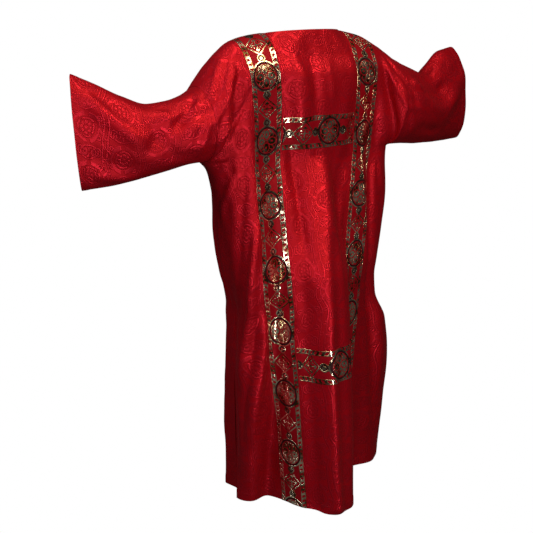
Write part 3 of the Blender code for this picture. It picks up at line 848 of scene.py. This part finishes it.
class Field:
    """A number that changes over a surface, for patterns written as arithmetic."""

    def __init__(self, tree, socket):
        self.tree = tree
        self.socket = socket

    def make(self, operation, *others):
        node = add(self.tree, "Math", dict(enumerate((self, *others))), operation=operation)
        return Field(self.tree, node.outputs[0])

    def between(self, low, high):
        return self.make("COMPARE", (low + high) / 2, (high - low) / 2)

    def wrapped(self, period):
        """The value brought to within half a period of 0."""
        return (self + period / 2).make("FLOORED_MODULO", period) - period / 2

    def eased(self, low, high):
        """0 up to low, 1 from high."""
        inputs = {"Value": self, "From Min": low, "From Max": high}
        node = add(self.tree, "MapRange", inputs, interpolation_type="SMOOTHSTEP")
        return Field(self.tree, node.outputs["Result"])

    def waves(self, pitch):
        return (self * (math.tau / pitch)).sine()

    def opposite(self):
        """1 where the mask is 0, and 0 where it is 1."""
        return self * -1.0 + 1.0


for word, operation in {
    "__add__": "ADD",
    "__sub__": "SUBTRACT",
    "__mul__": "MULTIPLY",
    "__truediv__": "DIVIDE",
    "__abs__": "ABSOLUTE",
    "__pow__": "POWER",
    "larger": "MAXIMUM",
    "smaller": "MINIMUM",
    "below": "LESS_THAN",
    "above": "GREATER_THAN",
    "sine": "SINE",
    "cosine": "COSINE",
    "root": "SQRT",
    "angle_of": "ARCTAN2",
}.items():
    setattr(Field, word, functools.partialmethod(Field.make, operation))


def far(x, y):
    """Distance of (x, y) from the origin."""
    return (x * x + y * y).root()


def join(*fields):
    return functools.reduce(Field.larger, fields)


def summed(heights, shares):
    return functools.reduce(Field.__add__, [height * share for height, share in zip(heights, shares)])


def fields(tree, node, *names):
    return [Field(tree, node.outputs[name]) for name in names]


def millimetres(tree, source):
    """The distance across the cloth and along it."""
    return [field * MM for field in fields(tree, add(tree, "SeparateXYZ", {0: source["Place"]}), "X", "Y")]


def draw_galloon(tree, source):
    """Medallions, drops and diamonds between dashed borders."""
    x, y = millimetres(tree, source)
    y = y - Field(tree, source["Start"]) * MM
    side = abs(x)
    up = abs(y.wrapped(REPEAT))
    r = far(side, up)
    outside = r.above(MEDALLION_R)

    slant = (y + side * DASH_SLANT).wrapped(DASH_PITCH)
    half = DASH_PITCH * DASH_SHARE / 2
    dashes = side.between(*DASHES) * slant.between(-half, half)
    border = join(side.between(*OUTER_LINE), side.between(*INNER_LINE), dashes) * outside

    ring = r.between(MEDALLION_RING, MEDALLION_R)
    major = side.larger(up)
    minor = side.smaller(up)
    petal = far((major - PETAL[0]) / PETAL[1], minor / PETAL[2])
    out = (major + minor) * math.sqrt(0.5)
    off = (major - minor) * math.sqrt(0.5)
    leaf = far((out - LEAF[0]) / LEAF[1], off / LEAF[2])
    leaf_line = leaf.between(*LEAF_LINE) * petal.above(1.0)
    gaps = join(petal.between(*PETAL_LINE), petal.below(PETAL_EYE), leaf_line, r.below(MEDALLION_EYE))
    field = r.below(MEDALLION_FIELD - FIELD_MARGIN) * gaps.opposite()

    fall = abs(up - DROP_PLACE)
    drop = (side**DROP_SQUARE + fall**DROP_SQUARE) ** (1 / DROP_SQUARE)
    drops = join(drop.between(DROP_RING, DROP_OUTER), drop.below(DROP_CORE)) * outside
    dark = join(r.between(MEDALLION_FIELD, MEDALLION_RING), drop.between(DROP_CORE, DROP_RING) * outside)

    rest = up * -1.0 + REPEAT / 2
    diamond = side / DIAMOND_HALF[0] + rest / DIAMOND_HALF[1]
    line = diamond.between(*DIAMOND_LINE) * drop.above(DROP_OUTER)
    arms = (side.below(ARM_HALF) * rest.below(14.0), rest.below(ARM_HALF) * side.below(15.0))
    beads = [far(side - a, rest - b).below(radius) for a, b, radius in BEADS]
    gold = join(border, ring, field, drops, line, *arms, *beads)
    return gold, dark, y.waves(THREAD_PITCH) * x.waves(THREAD_PITCH)


def draw_damask(tree, source):
    """Roundels, palmettes and scrolls in a half drop, tone on tone. All sizes are in millimetres."""
    x, y = millimetres(tree, source)
    x = x + y.waves(WARP_LONG) * WARP
    y = y + x.waves(WARP_WIDE) * WARP
    column = ((x + COLUMN_PITCH / 2) / COLUMN_PITCH).make("FLOOR")
    parity = column.make("FLOORED_MODULO", 2.0)
    across = x.wrapped(COLUMN_PITCH)
    down = (y + parity * (DAMASK_REPEAT / 2)).wrapped(DAMASK_REPEAT)
    side = abs(across)
    up = abs(down)
    turn = down.angle_of(across)

    lobes = (turn * 8.0).cosine()
    egg = far(side, up / EGG_LONG)
    loop = egg.between(16.0, 19.6) * (turn * 4.0 + 0.6).cosine().above(-0.86)
    rosette = egg - lobes * 1.3
    petals = rosette.between(6.4, 12.6) * lobes.above(-0.8)
    claw = far(side - 9.0, up / EGG_LONG)
    crescent = claw.above(18.0) * egg.below(30.0) * egg.above(22.4) * side.above(5.0)
    curl = far(side - 26.0, up - 23.0)

    rest = up * -1.0 + DAMASK_REPEAT / 2
    fan = far(side, rest + 6.0)
    fan_turn = side.angle_of(rest + 6.0)
    rib = (fan_turn * 9.0).cosine()
    leaf = fan.between(8.0, 19.0) * rib.above(-0.35) * fan_turn.below(1.25)
    leaf_edge = fan.between(21.0, 24.0) * fan_turn.below(1.15)
    wing = far(side - 20.0, (rest - 3.0) / EGG_LONG)
    sway = (down * (math.tau / DAMASK_REPEAT)).cosine()
    stem = abs(side - 34.5 - sway * 4.5)
    tendril = far(side - 36.0, rest - 17.0).between(2.6, 4.8)
    sprig = far((side - 33.0) - (up - 8.0) * 0.5, (up - 8.0) * 0.6).below(3.2)

    rings = (curl.between(3.6, 6.6), wing.between(4.4, 7.4))
    eyes = (egg.below(3.4), curl.below(1.8), wing.below(1.8), stem.below(1.5))
    fill = join(loop, petals, crescent, leaf, leaf_edge, tendril, sprig, *rings, *eyes)
    outline = join(
        egg.between(14.6, 21.0),
        rosette.between(5.0, 14.0),
        curl.below(8.0),
        fan.between(6.6, 20.4) * rib.above(-0.55) * fan_turn.below(1.35),
        wing.between(3.2, 8.6),
        stem.below(2.9),
        tendril,
    )
    return fill, outline * fill.opposite(), (x + y).waves(TWILL_PITCH)


def draw_unevenness(tree, source):
    """Slow and fine noise over the cloth, each about 0.5."""
    for name, detail in (("Slow", 2.0), ("Fine", 3.0)):
        inputs = {"Vector": source["Place"], "Scale": source[name], "Detail": detail}
        yield add(tree, "TexNoise", inputs).outputs["Fac"]


FIGURES = {
    "Galloon figure": ({"Start": 0.0}, ("Gold", "Dark", "Thread"), draw_galloon),
    "Damask figure": ({}, ("Figure", "Line", "Twill"), draw_damask),
    "Cloth unevenness": ({"Slow": 9.0, "Fine": 160.0}, ("Slow", "Fine"), draw_unevenness),
}


def figure_group(name):
    """The node group of this name, drawn the first time."""
    inputs, outputs, draw = FIGURES[name]
    tree = bpy.data.node_groups.new(name, "ShaderNodeTree")
    tree.interface.new_socket("Place", in_out="INPUT", socket_type="NodeSocketVector")
    for label, value in inputs.items():
        tree.interface.new_socket(label, in_out="INPUT", socket_type="NodeSocketFloat").default_value = value
    for label in outputs:
        tree.interface.new_socket(label, in_out="OUTPUT", socket_type="NodeSocketFloat")
    source = tree.nodes.new("NodeGroupInput").outputs
    sink = tree.nodes.new("NodeGroupOutput").inputs
    for label, value in zip(outputs, draw(tree, source)):
        feed(tree, sink[label], value)
    return tree


def placed(tree, name, place, **inputs):
    """The outputs of a figure's node, fed with the place on the cloth."""
    group = bpy.data.node_groups.get(name) or figure_group(name)
    node = add(tree, "Group", {}, node_tree=group)
    for label, value in {"Place": place, **inputs}.items():
        feed(tree, node.inputs[label], value)
    return fields(tree, node, *FIGURES[name][1])


def cloth_place(tree):
    return add(tree, "UVMap", {}, uv_map=CLOTH_MAP).outputs["UV"]


def mixed(tree, share, first, second, blend_type="MIX"):
    """A colour between first and second, each a colour or a socket."""
    inputs = {0: share, 6: first, 7: second}
    return add(tree, "Mix", inputs, data_type="RGBA", blend_type=blend_type).outputs[2]


def new_finish(name):
    """A material, its node tree and its shader."""
    finish = bpy.data.materials.new(name)
    finish.use_nodes = True
    return finish, finish.node_tree, finish.node_tree.nodes["Principled BSDF"]


def dress(tree, shader, relief, spread=0.1, **inputs):
    """Feeds the shader its inputs and a relief in millimetres."""
    bump = add(tree, "Bump", {"Filter Width": spread, "Distance": 1 / MM, "Height": relief})
    feed(tree, shader.inputs["Normal"], bump.outputs["Normal"])
    for name, value in inputs.items():
        feed(tree, shader.inputs[name.replace("_", " ")], value)


def colour(value):
    return (*value, 1.0)


def red_damask(context):
    """Satin figures on a twill ground, of one colour, with a soft sheen."""
    known = bpy.data.materials.get("Red damask cloth")
    if known:
        return known
    cloth = settings(context)[0]
    finish, tree, shader = new_finish("Red damask cloth")
    place = cloth_place(tree)
    fill, line, twill = placed(tree, "Damask figure", place)
    slow, fine = placed(tree, "Cloth unevenness", place)
    satin = fill * (slow.eased(0.38, 0.60) * 0.5 + 0.5)
    base = mixed(tree, satin, colour(cloth.ground), colour(cloth.figure))
    base = mixed(tree, line * OUTLINE_SHARE, base, colour(cloth.shade))
    shade = slow.eased(0.25, 0.75) * SHADE_SPAN + SHADE_DARKEST
    grey = add(tree, "CombineColor", dict.fromkeys(range(3), shade)).outputs["Color"]
    rough = satin * (cloth.figure_roughness - cloth.ground_roughness) + cloth.ground_roughness
    dress(
        tree,
        shader,
        summed((satin, line, twill, fine), DAMASK_RELIEF),
        spread=1.0,
        Base_Color=mixed(tree, 1.0, base, grey, "MULTIPLY"),
        Roughness=rough + line * LINE_ROUGHNESS + fine * FINE_ROUGHNESS,
        Metallic=satin * (cloth.figure_silk - cloth.ground_silk) + cloth.ground_silk,
        Specular_Tint=SILK_TINT,
        Specular_IOR_Level=CLOTH_SPECULAR,
        Sheen_Weight=SHEEN_WEIGHT,
        Sheen_Roughness=SHEEN_ROUGHNESS,
        Sheen_Tint=SHEEN_TINT,
    )
    return finish


def gold_galloon(context, name, start):
    """Metal thread on a red ground; start is the distance along the band to a medallion."""
    galloon = settings(context)[1]
    finish, tree, shader = new_finish(name)
    place = cloth_place(tree)
    gold, dark, thread = placed(tree, "Galloon figure", place, Start=start)
    slow, fine = placed(tree, "Cloth unevenness", place, Slow=GALLOON_SLOW, Fine=GALLOON_FINE)
    patch = Field(tree, add(tree, "TexNoise", {"Vector": place, "Scale": GALLOON_MIDDLE}).outputs["Fac"])
    # Painted glint and painted dull reflection: noise patches mix a dark metal colour with the bright gold,
    # so the gold looks lit in some patches and dull in others
    painted_glint_share = (patch * 0.2 + slow * 0.8).eased(0.40, 0.58)
    metal = mixed(tree, painted_glint_share, colour(galloon.gold_painted_dull), colour(galloon.gold))
    base = mixed(tree, dark, colour(galloon.ground), colour(galloon.shade))
    rough = gold * (galloon.gold_roughness - galloon.ground_roughness) + galloon.ground_roughness
    dress(
        tree,
        shader,
        summed((gold, thread * gold, fine * gold, patch, slow), GALLOON_RELIEF),
        Base_Color=mixed(tree, gold, base, metal),
        Metallic=gold * (galloon.gold_metal - galloon.ground_silk) + galloon.ground_silk,
        Specular_IOR_Level=GALLOON_SPECULAR,
        Roughness=rough + slow * 0.05,
    )
    return finish


def thread_finish(context):
    """Sewing thread: matt, lighter and darker at random by fine noise."""
    sewing = settings(context)[2]
    finish, tree, shader = new_finish("Sewing thread")
    place = add(tree, "TexCoord", {}).outputs["Object"]
    fine = placed(tree, "Cloth unevenness", place, Fine=THREAD_NOISE)[1]
    base = mixed(tree, fine, colour(sewing.shade), colour(sewing.colour))
    dress(tree, shader, fine * 0.05, Base_Color=base, Roughness=fine * 0.2 + 0.5)
    return finish


def between(grid, places, value):
    """The row of a grid at a value between its rows' places."""
    after = int(np.clip(np.searchsorted(places, value), 1, len(places) - 1))
    share = (value - places[after - 1]) / (places[after] - places[after - 1])
    return grid[after - 1] * (1 - share) + grid[after] * share


def seam_line(grid, lift, places, value, way):
    """A line of places on a sheet's face for stitches, with the way out of the cloth at each."""
    out = between(outward(grid, way), places, value)
    return between(grid, places, value) + out * lift, out


def turned(grid):
    return np.swapaxes(grid, 0, 1)


def edge_lines(strip, lift, way):
    """Two lines of stitches, one beside each edge of a strip whose rows run along it."""
    places = np.linspace(0.0, BAND_WIDTH, len(strip))
    return [seam_line(strip, lift, places, at, way) for at in (STITCH_INSET, BAND_WIDTH - STITCH_INSET)]


def stitch_shape(sewing):
    """The points and faces of one stitch, a grain of thread that lies along x."""
    deselect()
    bpy.ops.mesh.primitive_uv_sphere_add(**STITCH_SHAPE)
    grain = bpy.context.object
    points = np.array([(p.co.z, p.co.x, p.co.y) for p in grain.data.vertices])
    faces = [list(face.vertices) for face in grain.data.polygons]
    bpy.data.objects.remove(grain)
    return points * (sewing.stitch / 2, sewing.radius, sewing.radius), faces


def sewn(name, lines, sewing, finish):
    """Stitches set at an even pitch along each line, copied from one."""
    shape, faces = stitch_shape(sewing)
    points = []
    for places, out in lines:
        run = along(places)
        at = np.arange(sewing.pitch / 2, run[-1] - sewing.pitch / 2, sewing.pitch)
        middle, ahead, z = (
            np.stack([np.interp(where, run, axis) for axis in values.T], axis=1)
            for where, values in ((at, places), (at + sewing.pitch / 2, places), (at, out))
        )
        x = unit(ahead - middle)
        z = unit(z - x * (x * z).sum(axis=1)[:, None])
        turn = np.stack([x, np.cross(z, x), z], axis=1)
        points.append((middle[:, None] + np.einsum("pk,nkc->npc", shape, turn)).reshape(-1, 3))
    points = np.concatenate(points)
    starts = range(0, len(points), len(shape))
    mesh = bpy.data.meshes.new(name)
    mesh.from_pydata(points.tolist(), [], [[i + start for i in face] for start in starts for face in faces])
    mesh.materials.append(finish)
    mesh.shade_smooth()
    piece = bpy.data.objects.new(name, mesh)
    bpy.context.scene.collection.objects.link(piece)
    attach(piece, "root")


def show(name, description, default, **kind):
    """A size on the panel or, from three numbers, a colour."""
    kind.update(name=name, description=description, default=default)
    if isinstance(default, tuple):
        return bpy.props.FloatVectorProperty(subtype="COLOR", **kind)
    return bpy.props.FloatProperty(**kind)


LENGTH = {"unit": "LENGTH"}
POWER = {"unit": "POWER"}
SHARE = {"subtype": "FACTOR"}
SILKINESS = "How much the ground mirrors in its own colour"


class DalmaticCloth(bpy.types.PropertyGroup):
    thickness: show("Thickness", "Thickness of the damask", 0.0010, **LENGTH)
    crease_height: show("Crease height", "How strongly the creases stand out", 1.0)
    undulation: show("Unevenness", "Height of the slow unevenness", 0.0006, **LENGTH)
    pucker: show("Pucker", "Height of the gathers beside a band", 0.0004, **LENGTH)
    ground: show("Ground", "Colour of the ground", (0.44, 0.002, 0.009))
    figure: show("Figure", "Colour of the figure", (0.50, 0.008, 0.020))
    shade: show("Outline", "Colour of the figure's outline", (0.17, 0.0, 0.004))
    ground_roughness: show("Ground roughness", "Gloss of the ground", 0.47, **SHARE)
    figure_roughness: show("Figure roughness", "Gloss of the figure", 0.38, **SHARE)
    ground_silk: show("Ground silkiness", SILKINESS, 0.46, **SHARE)
    figure_silk: show("Figure silkiness", "How much the figure mirrors in its own colour", 0.66, **SHARE)


class DalmaticGalloon(bpy.types.PropertyGroup):
    thickness: show("Thickness", "Thickness of the galloon", 0.0008, **LENGTH)
    gold: show("Gold", "Colour of the metal thread", (1.0, 0.87, 0.64))
    # Dark metal colour of the painted dull reflection, set in noise patches between the painted glints
    gold_painted_dull: show("Gold, dull", "Its colour where dull", (0.15, 0.086, 0.032))
    ground: show("Ground", "Colour of the ground", (0.30, 0.002, 0.008))
    shade: show("Ring", "Colour of the dark ring", (0.030, 0.004, 0.006))
    gold_roughness: show("Gold roughness", "Gloss of the metal thread", 0.15, **SHARE)
    gold_metal: show("Metal", "How much the gold mirrors", 0.96, **SHARE)
    ground_silk: show("Ground silkiness", SILKINESS, 0.25, **SHARE)
    ground_roughness: show("Ground roughness", "Gloss of the ground", 0.50, **SHARE)


class DalmaticSewing(bpy.types.PropertyGroup):
    stitch: show("Stitch", "Length of a stitch", 0.0024, **LENGTH)
    pitch: show("Pitch", "Distance from stitch to stitch", 0.0036, **LENGTH)
    radius: show("Thread radius", "Half the thread's thickness", 0.00022, **LENGTH)
    colour: show("Thread", "Colour of the thread", (0.40, 0.01, 0.02))
    shade: show("Thread, dull", "Its colour where dull", (0.18, 0.0, 0.006))


class DalmaticStudio(bpy.types.PropertyGroup):
    key: show("Key light", "Power of the key light", 11.0, **POWER)
    top: show("Top light", "Power of the top light", 12.5, **POWER)
    strip: show("Strip light", "Power of the strip", 12.5, **POWER)
    left: show("Left light", "Power of the left light", 6.6, **POWER)
    side: show("Side light", "Power of the side light", 8.5, **POWER)
    surround: show("Surround", "Brightness of the room round the garment", 0.06)


class DALMATIC_OT_panels(bpy.types.Operator):
    """Hang the back and the front"""

    bl_idname = "dalmatic.panels"
    bl_label = "Back and front"

    def execute(self, context):
        for shape in (panel, raised, armhole_edge, sleeve):
            shape.cache_clear()
        thickness = settings(context)[0].thickness
        finish = red_damask(context)
        for face in FACES:
            grid = panel(face)
            run = run_of(grid, 0)
            down = run - run[len(SHARES) - 1]
            names = (f"{face}_cloth", f"{face}_panel", "red_damask")
            piece = sheet_object(*names, grid, ACROSS, down, finish, thickness, OUT[face])
        return {"FINISHED"}


class DALMATIC_OT_sleeves(bpy.types.Operator):
    """Hang the two sleeves"""

    bl_idname = "dalmatic.sleeves"
    bl_label = "Sleeves"

    def execute(self, context):
        thickness = settings(context)[0].thickness
        finish = red_damask(context)
        for side, sign in SIGN.items():
            grid, out, down = sleeve(side)
            u = sign * (PANEL_HALF + out)[:, None]
            names = (f"{side}_sleeve_cloth", f"{side}_sleeve", "red_damask")
            piece = sheet_object(*names, grid, u, down, finish, thickness, closed=True)
        return {"FINISHED"}


class DALMATIC_OT_clavi(bpy.types.Operator):
    """Lay the two long bands over the shoulders"""

    bl_idname = "dalmatic.clavi"
    bl_label = "Clavi"

    def execute(self, context):
        thickness = settings(context)[1].thickness
        for side, sign in SIGN.items():
            strip, at = clavus_strip(side)
            run = run_of(strip, 0)[:, len(at) // 2]
            u = ACROSS[at] - sign * CLAVUS_CENTRE
            v = (run[len(strip) // 2] - run)[:, None]
            finish = gold_galloon(context, f"Galloon, {side} clavus", BAND_START[side])
            names = (f"{side}_clavus_galloon", f"{side}_clavus", "gold_galloon")
            piece = sheet_object(*names, strip, u, v, finish, thickness)
        return {"FINISHED"}


class DALMATIC_OT_cross_bands(bpy.types.Operator):
    """Lay the four short bands between the clavi"""

    bl_idname = "dalmatic.cross_bands"
    bl_label = "Cross bands"

    def execute(self, context):
        thickness = settings(context)[1].thickness
        for face in FACES:
            for height in ("upper", "lower"):
                strip, at = cross_strip(face, height)
                run = run_of(strip, 0)
                u = run - run[-1] / 2
                u = u * (BAND_WIDTH / 2) / u[-1]
                finish = gold_galloon(context, f"Galloon, {face} {height}", BAND_START[height])
                names = (f"{face}_{height}_band_galloon", f"{face}_{height}_band", "gold_galloon")
                piece = sheet_object(*names, strip, u, ACROSS[at], finish, thickness, OUT[face])
        return {"FINISHED"}


class DALMATIC_OT_stitches(bpy.types.Operator):
    """Sew the bands, the hems, the slits, the cuffs and the neck"""

    bl_idname = "dalmatic.stitches"
    bl_label = "Stitches"

    def execute(self, context):
        cloth, galloon, sewing = settings(context)[:3]
        finish = thread_finish(context)
        lift = cloth.thickness / 2
        band_lift = galloon.thickness / 2
        bands = []
        hems = []
        for side, sign in SIGN.items():
            bands += edge_lines(turned(clavus_strip(side)[0]), band_lift, -1.0)
            grid, out, _ = sleeve(side)
            hems.append(seam_line(grid, lift, out, out[-1] - CUFF_DEPTH, sign))
        for face, turn in TURN.items():
            for place in ("upper", "lower"):
                bands += edge_lines(cross_strip(face, place)[0], band_lift, -turn)
            grid = panel(face)
            hems.append(seam_line(grid, lift, DOWN, DOWN[-1] - HEM_DEPTH, -turn))
            neck = np.abs(ACROSS) <= NECK_HALF
            hems.append([line[neck] for line in seam_line(grid, lift, DOWN, NECK_HEM, -turn)])
            slit = DOWN >= DOWN[-1] - SLIT_STITCHED
            for edge in (SLIT_HEM - PANEL_HALF, PANEL_HALF - SLIT_HEM):
                hems.append([line[slit] for line in seam_line(turned(grid), lift, ACROSS, edge, turn)])
        sewn("band_stitches", bands, sewing, finish)
        sewn("hem_stitches", hems, sewing, finish)
        return {"FINISHED"}


class DALMATIC_OT_studio(bpy.types.Operator):
    """Set the floor, the lights and the camera"""

    bl_idname = "dalmatic.studio"
    bl_label = "Studio"

    def execute(self, context):
        studio = settings(context)[3]
        deselect()
        bpy.ops.mesh.primitive_plane_add(size=FLOOR_SIZE, location=(0, 0, FLOOR_Z))
        floor = context.object
        floor.name = "Floor"
        bpy.ops.object.transform_apply(location=True, rotation=False, scale=False)
        floor.data.materials.append(studio_floor())
        add_world(context, studio.surround)
        for name in LIGHTS:
            add_softbox(context, name, getattr(studio, name.lower()))
        add_camera(context)
        context.scene.view_settings.view_transform = "Standard"
        return {"FINISHED"}


def show_white(tree, lit, white, sink):
    """Gives the camera white, and every other ray the lit shader."""
    seen = add(tree, "LightPath", {}).outputs["Is Camera Ray"]
    mix = add(tree, "MixShader", {0: seen, 1: lit, 2: white})
    feed(tree, sink.inputs["Surface"], mix.outputs[0])


def studio_floor():
    """A pale floor that looks white and lights the garment only a little."""
    finish, tree, shader = new_finish("Pale floor")
    feed(tree, shader.inputs["Base Color"], FLOOR_COLOUR)
    feed(tree, shader.inputs["Roughness"], FLOOR_ROUGHNESS)
    white = add(tree, "Emission", {"Color": WHITE}).outputs[0]
    show_white(tree, shader.outputs[0], white, tree.nodes["Material Output"])
    return finish


def add_world(context, surround):
    """A white background, dim for every ray that lights the garment."""
    world = bpy.data.worlds.new("Room")
    world.use_nodes = True
    tree = world.node_tree
    tree.nodes.clear()
    room = add(tree, "Background", {"Strength": surround}).outputs[0]
    white = add(tree, "Background", {"Color": WHITE}).outputs[0]
    show_white(tree, room, white, add(tree, "OutputWorld", {}))
    context.scene.world = world


def aimed(context, data, place, look):
    """A light or a camera in this place, level, that looks this way."""
    thing = bpy.data.objects.new(data.name, data)
    context.scene.collection.objects.link(thing)
    thing.location = place
    thing.rotation_euler = look.to_track_quat("-Z", "Y").to_euler()
    return thing


def add_softbox(context, name, power):
    """An area light that looks at the garment's middle."""
    width, height, place, tone = LIGHTS[name]
    light = bpy.data.lights.new(name, "AREA")
    light.energy = power
    light.color = tone
    light.shape = "RECTANGLE"
    light.size = width
    light.size_y = height
    aimed(context, light, place, LIGHT_AIM - Vector(place))


def add_camera(context):
    """A camera behind the garment, to the wearer's left, at the height of the shoulders."""
    camera = bpy.data.cameras.new("Camera")
    camera.sensor_width = SENSOR
    camera.lens = LENS
    context.scene.camera = aimed(context, camera, CAMERA_PLACE, CAMERA_LOOK)


class DALMATIC_PT_panel(bpy.types.Panel):
    bl_label = "Dalmatic"
    bl_space_type = "VIEW_3D"
    bl_region_type = "UI"
    bl_category = "Dalmatic"

    def draw(self, context):
        for group in settings(context):
            box = self.layout.box()
            for name in group.__annotations__:
                box.prop(group, name)
        for operator in OPERATORS:
            self.layout.operator(operator.bl_idname)


GROUPS = {
    "dalmatic_cloth": DalmaticCloth,
    "dalmatic_galloon": DalmaticGalloon,
    "dalmatic_sewing": DalmaticSewing,
    "dalmatic_studio": DalmaticStudio,
}
OPERATORS = (
    DALMATIC_OT_panels,
    DALMATIC_OT_sleeves,
    DALMATIC_OT_clavi,
    DALMATIC_OT_cross_bands,
    DALMATIC_OT_stitches,
    DALMATIC_OT_studio,
)


def register():
    for cls in (*GROUPS.values(), *OPERATORS, DALMATIC_PT_panel):
        bpy.utils.register_class(cls)
    for name, cls in GROUPS.items():
        setattr(bpy.types.Scene, name, bpy.props.PointerProperty(type=cls))


def unregister():
    for name in GROUPS:
        delattr(bpy.types.Scene, name)
    for cls in (DALMATIC_PT_panel, *reversed(OPERATORS), *GROUPS.values()):
        bpy.utils.unregister_class(cls)


def main():
    register()
    for operator in OPERATORS:
        group, name = operator.bl_idname.split(".")
        getattr(getattr(bpy.ops, group), name)()


if __name__ == "__main__":
    main()
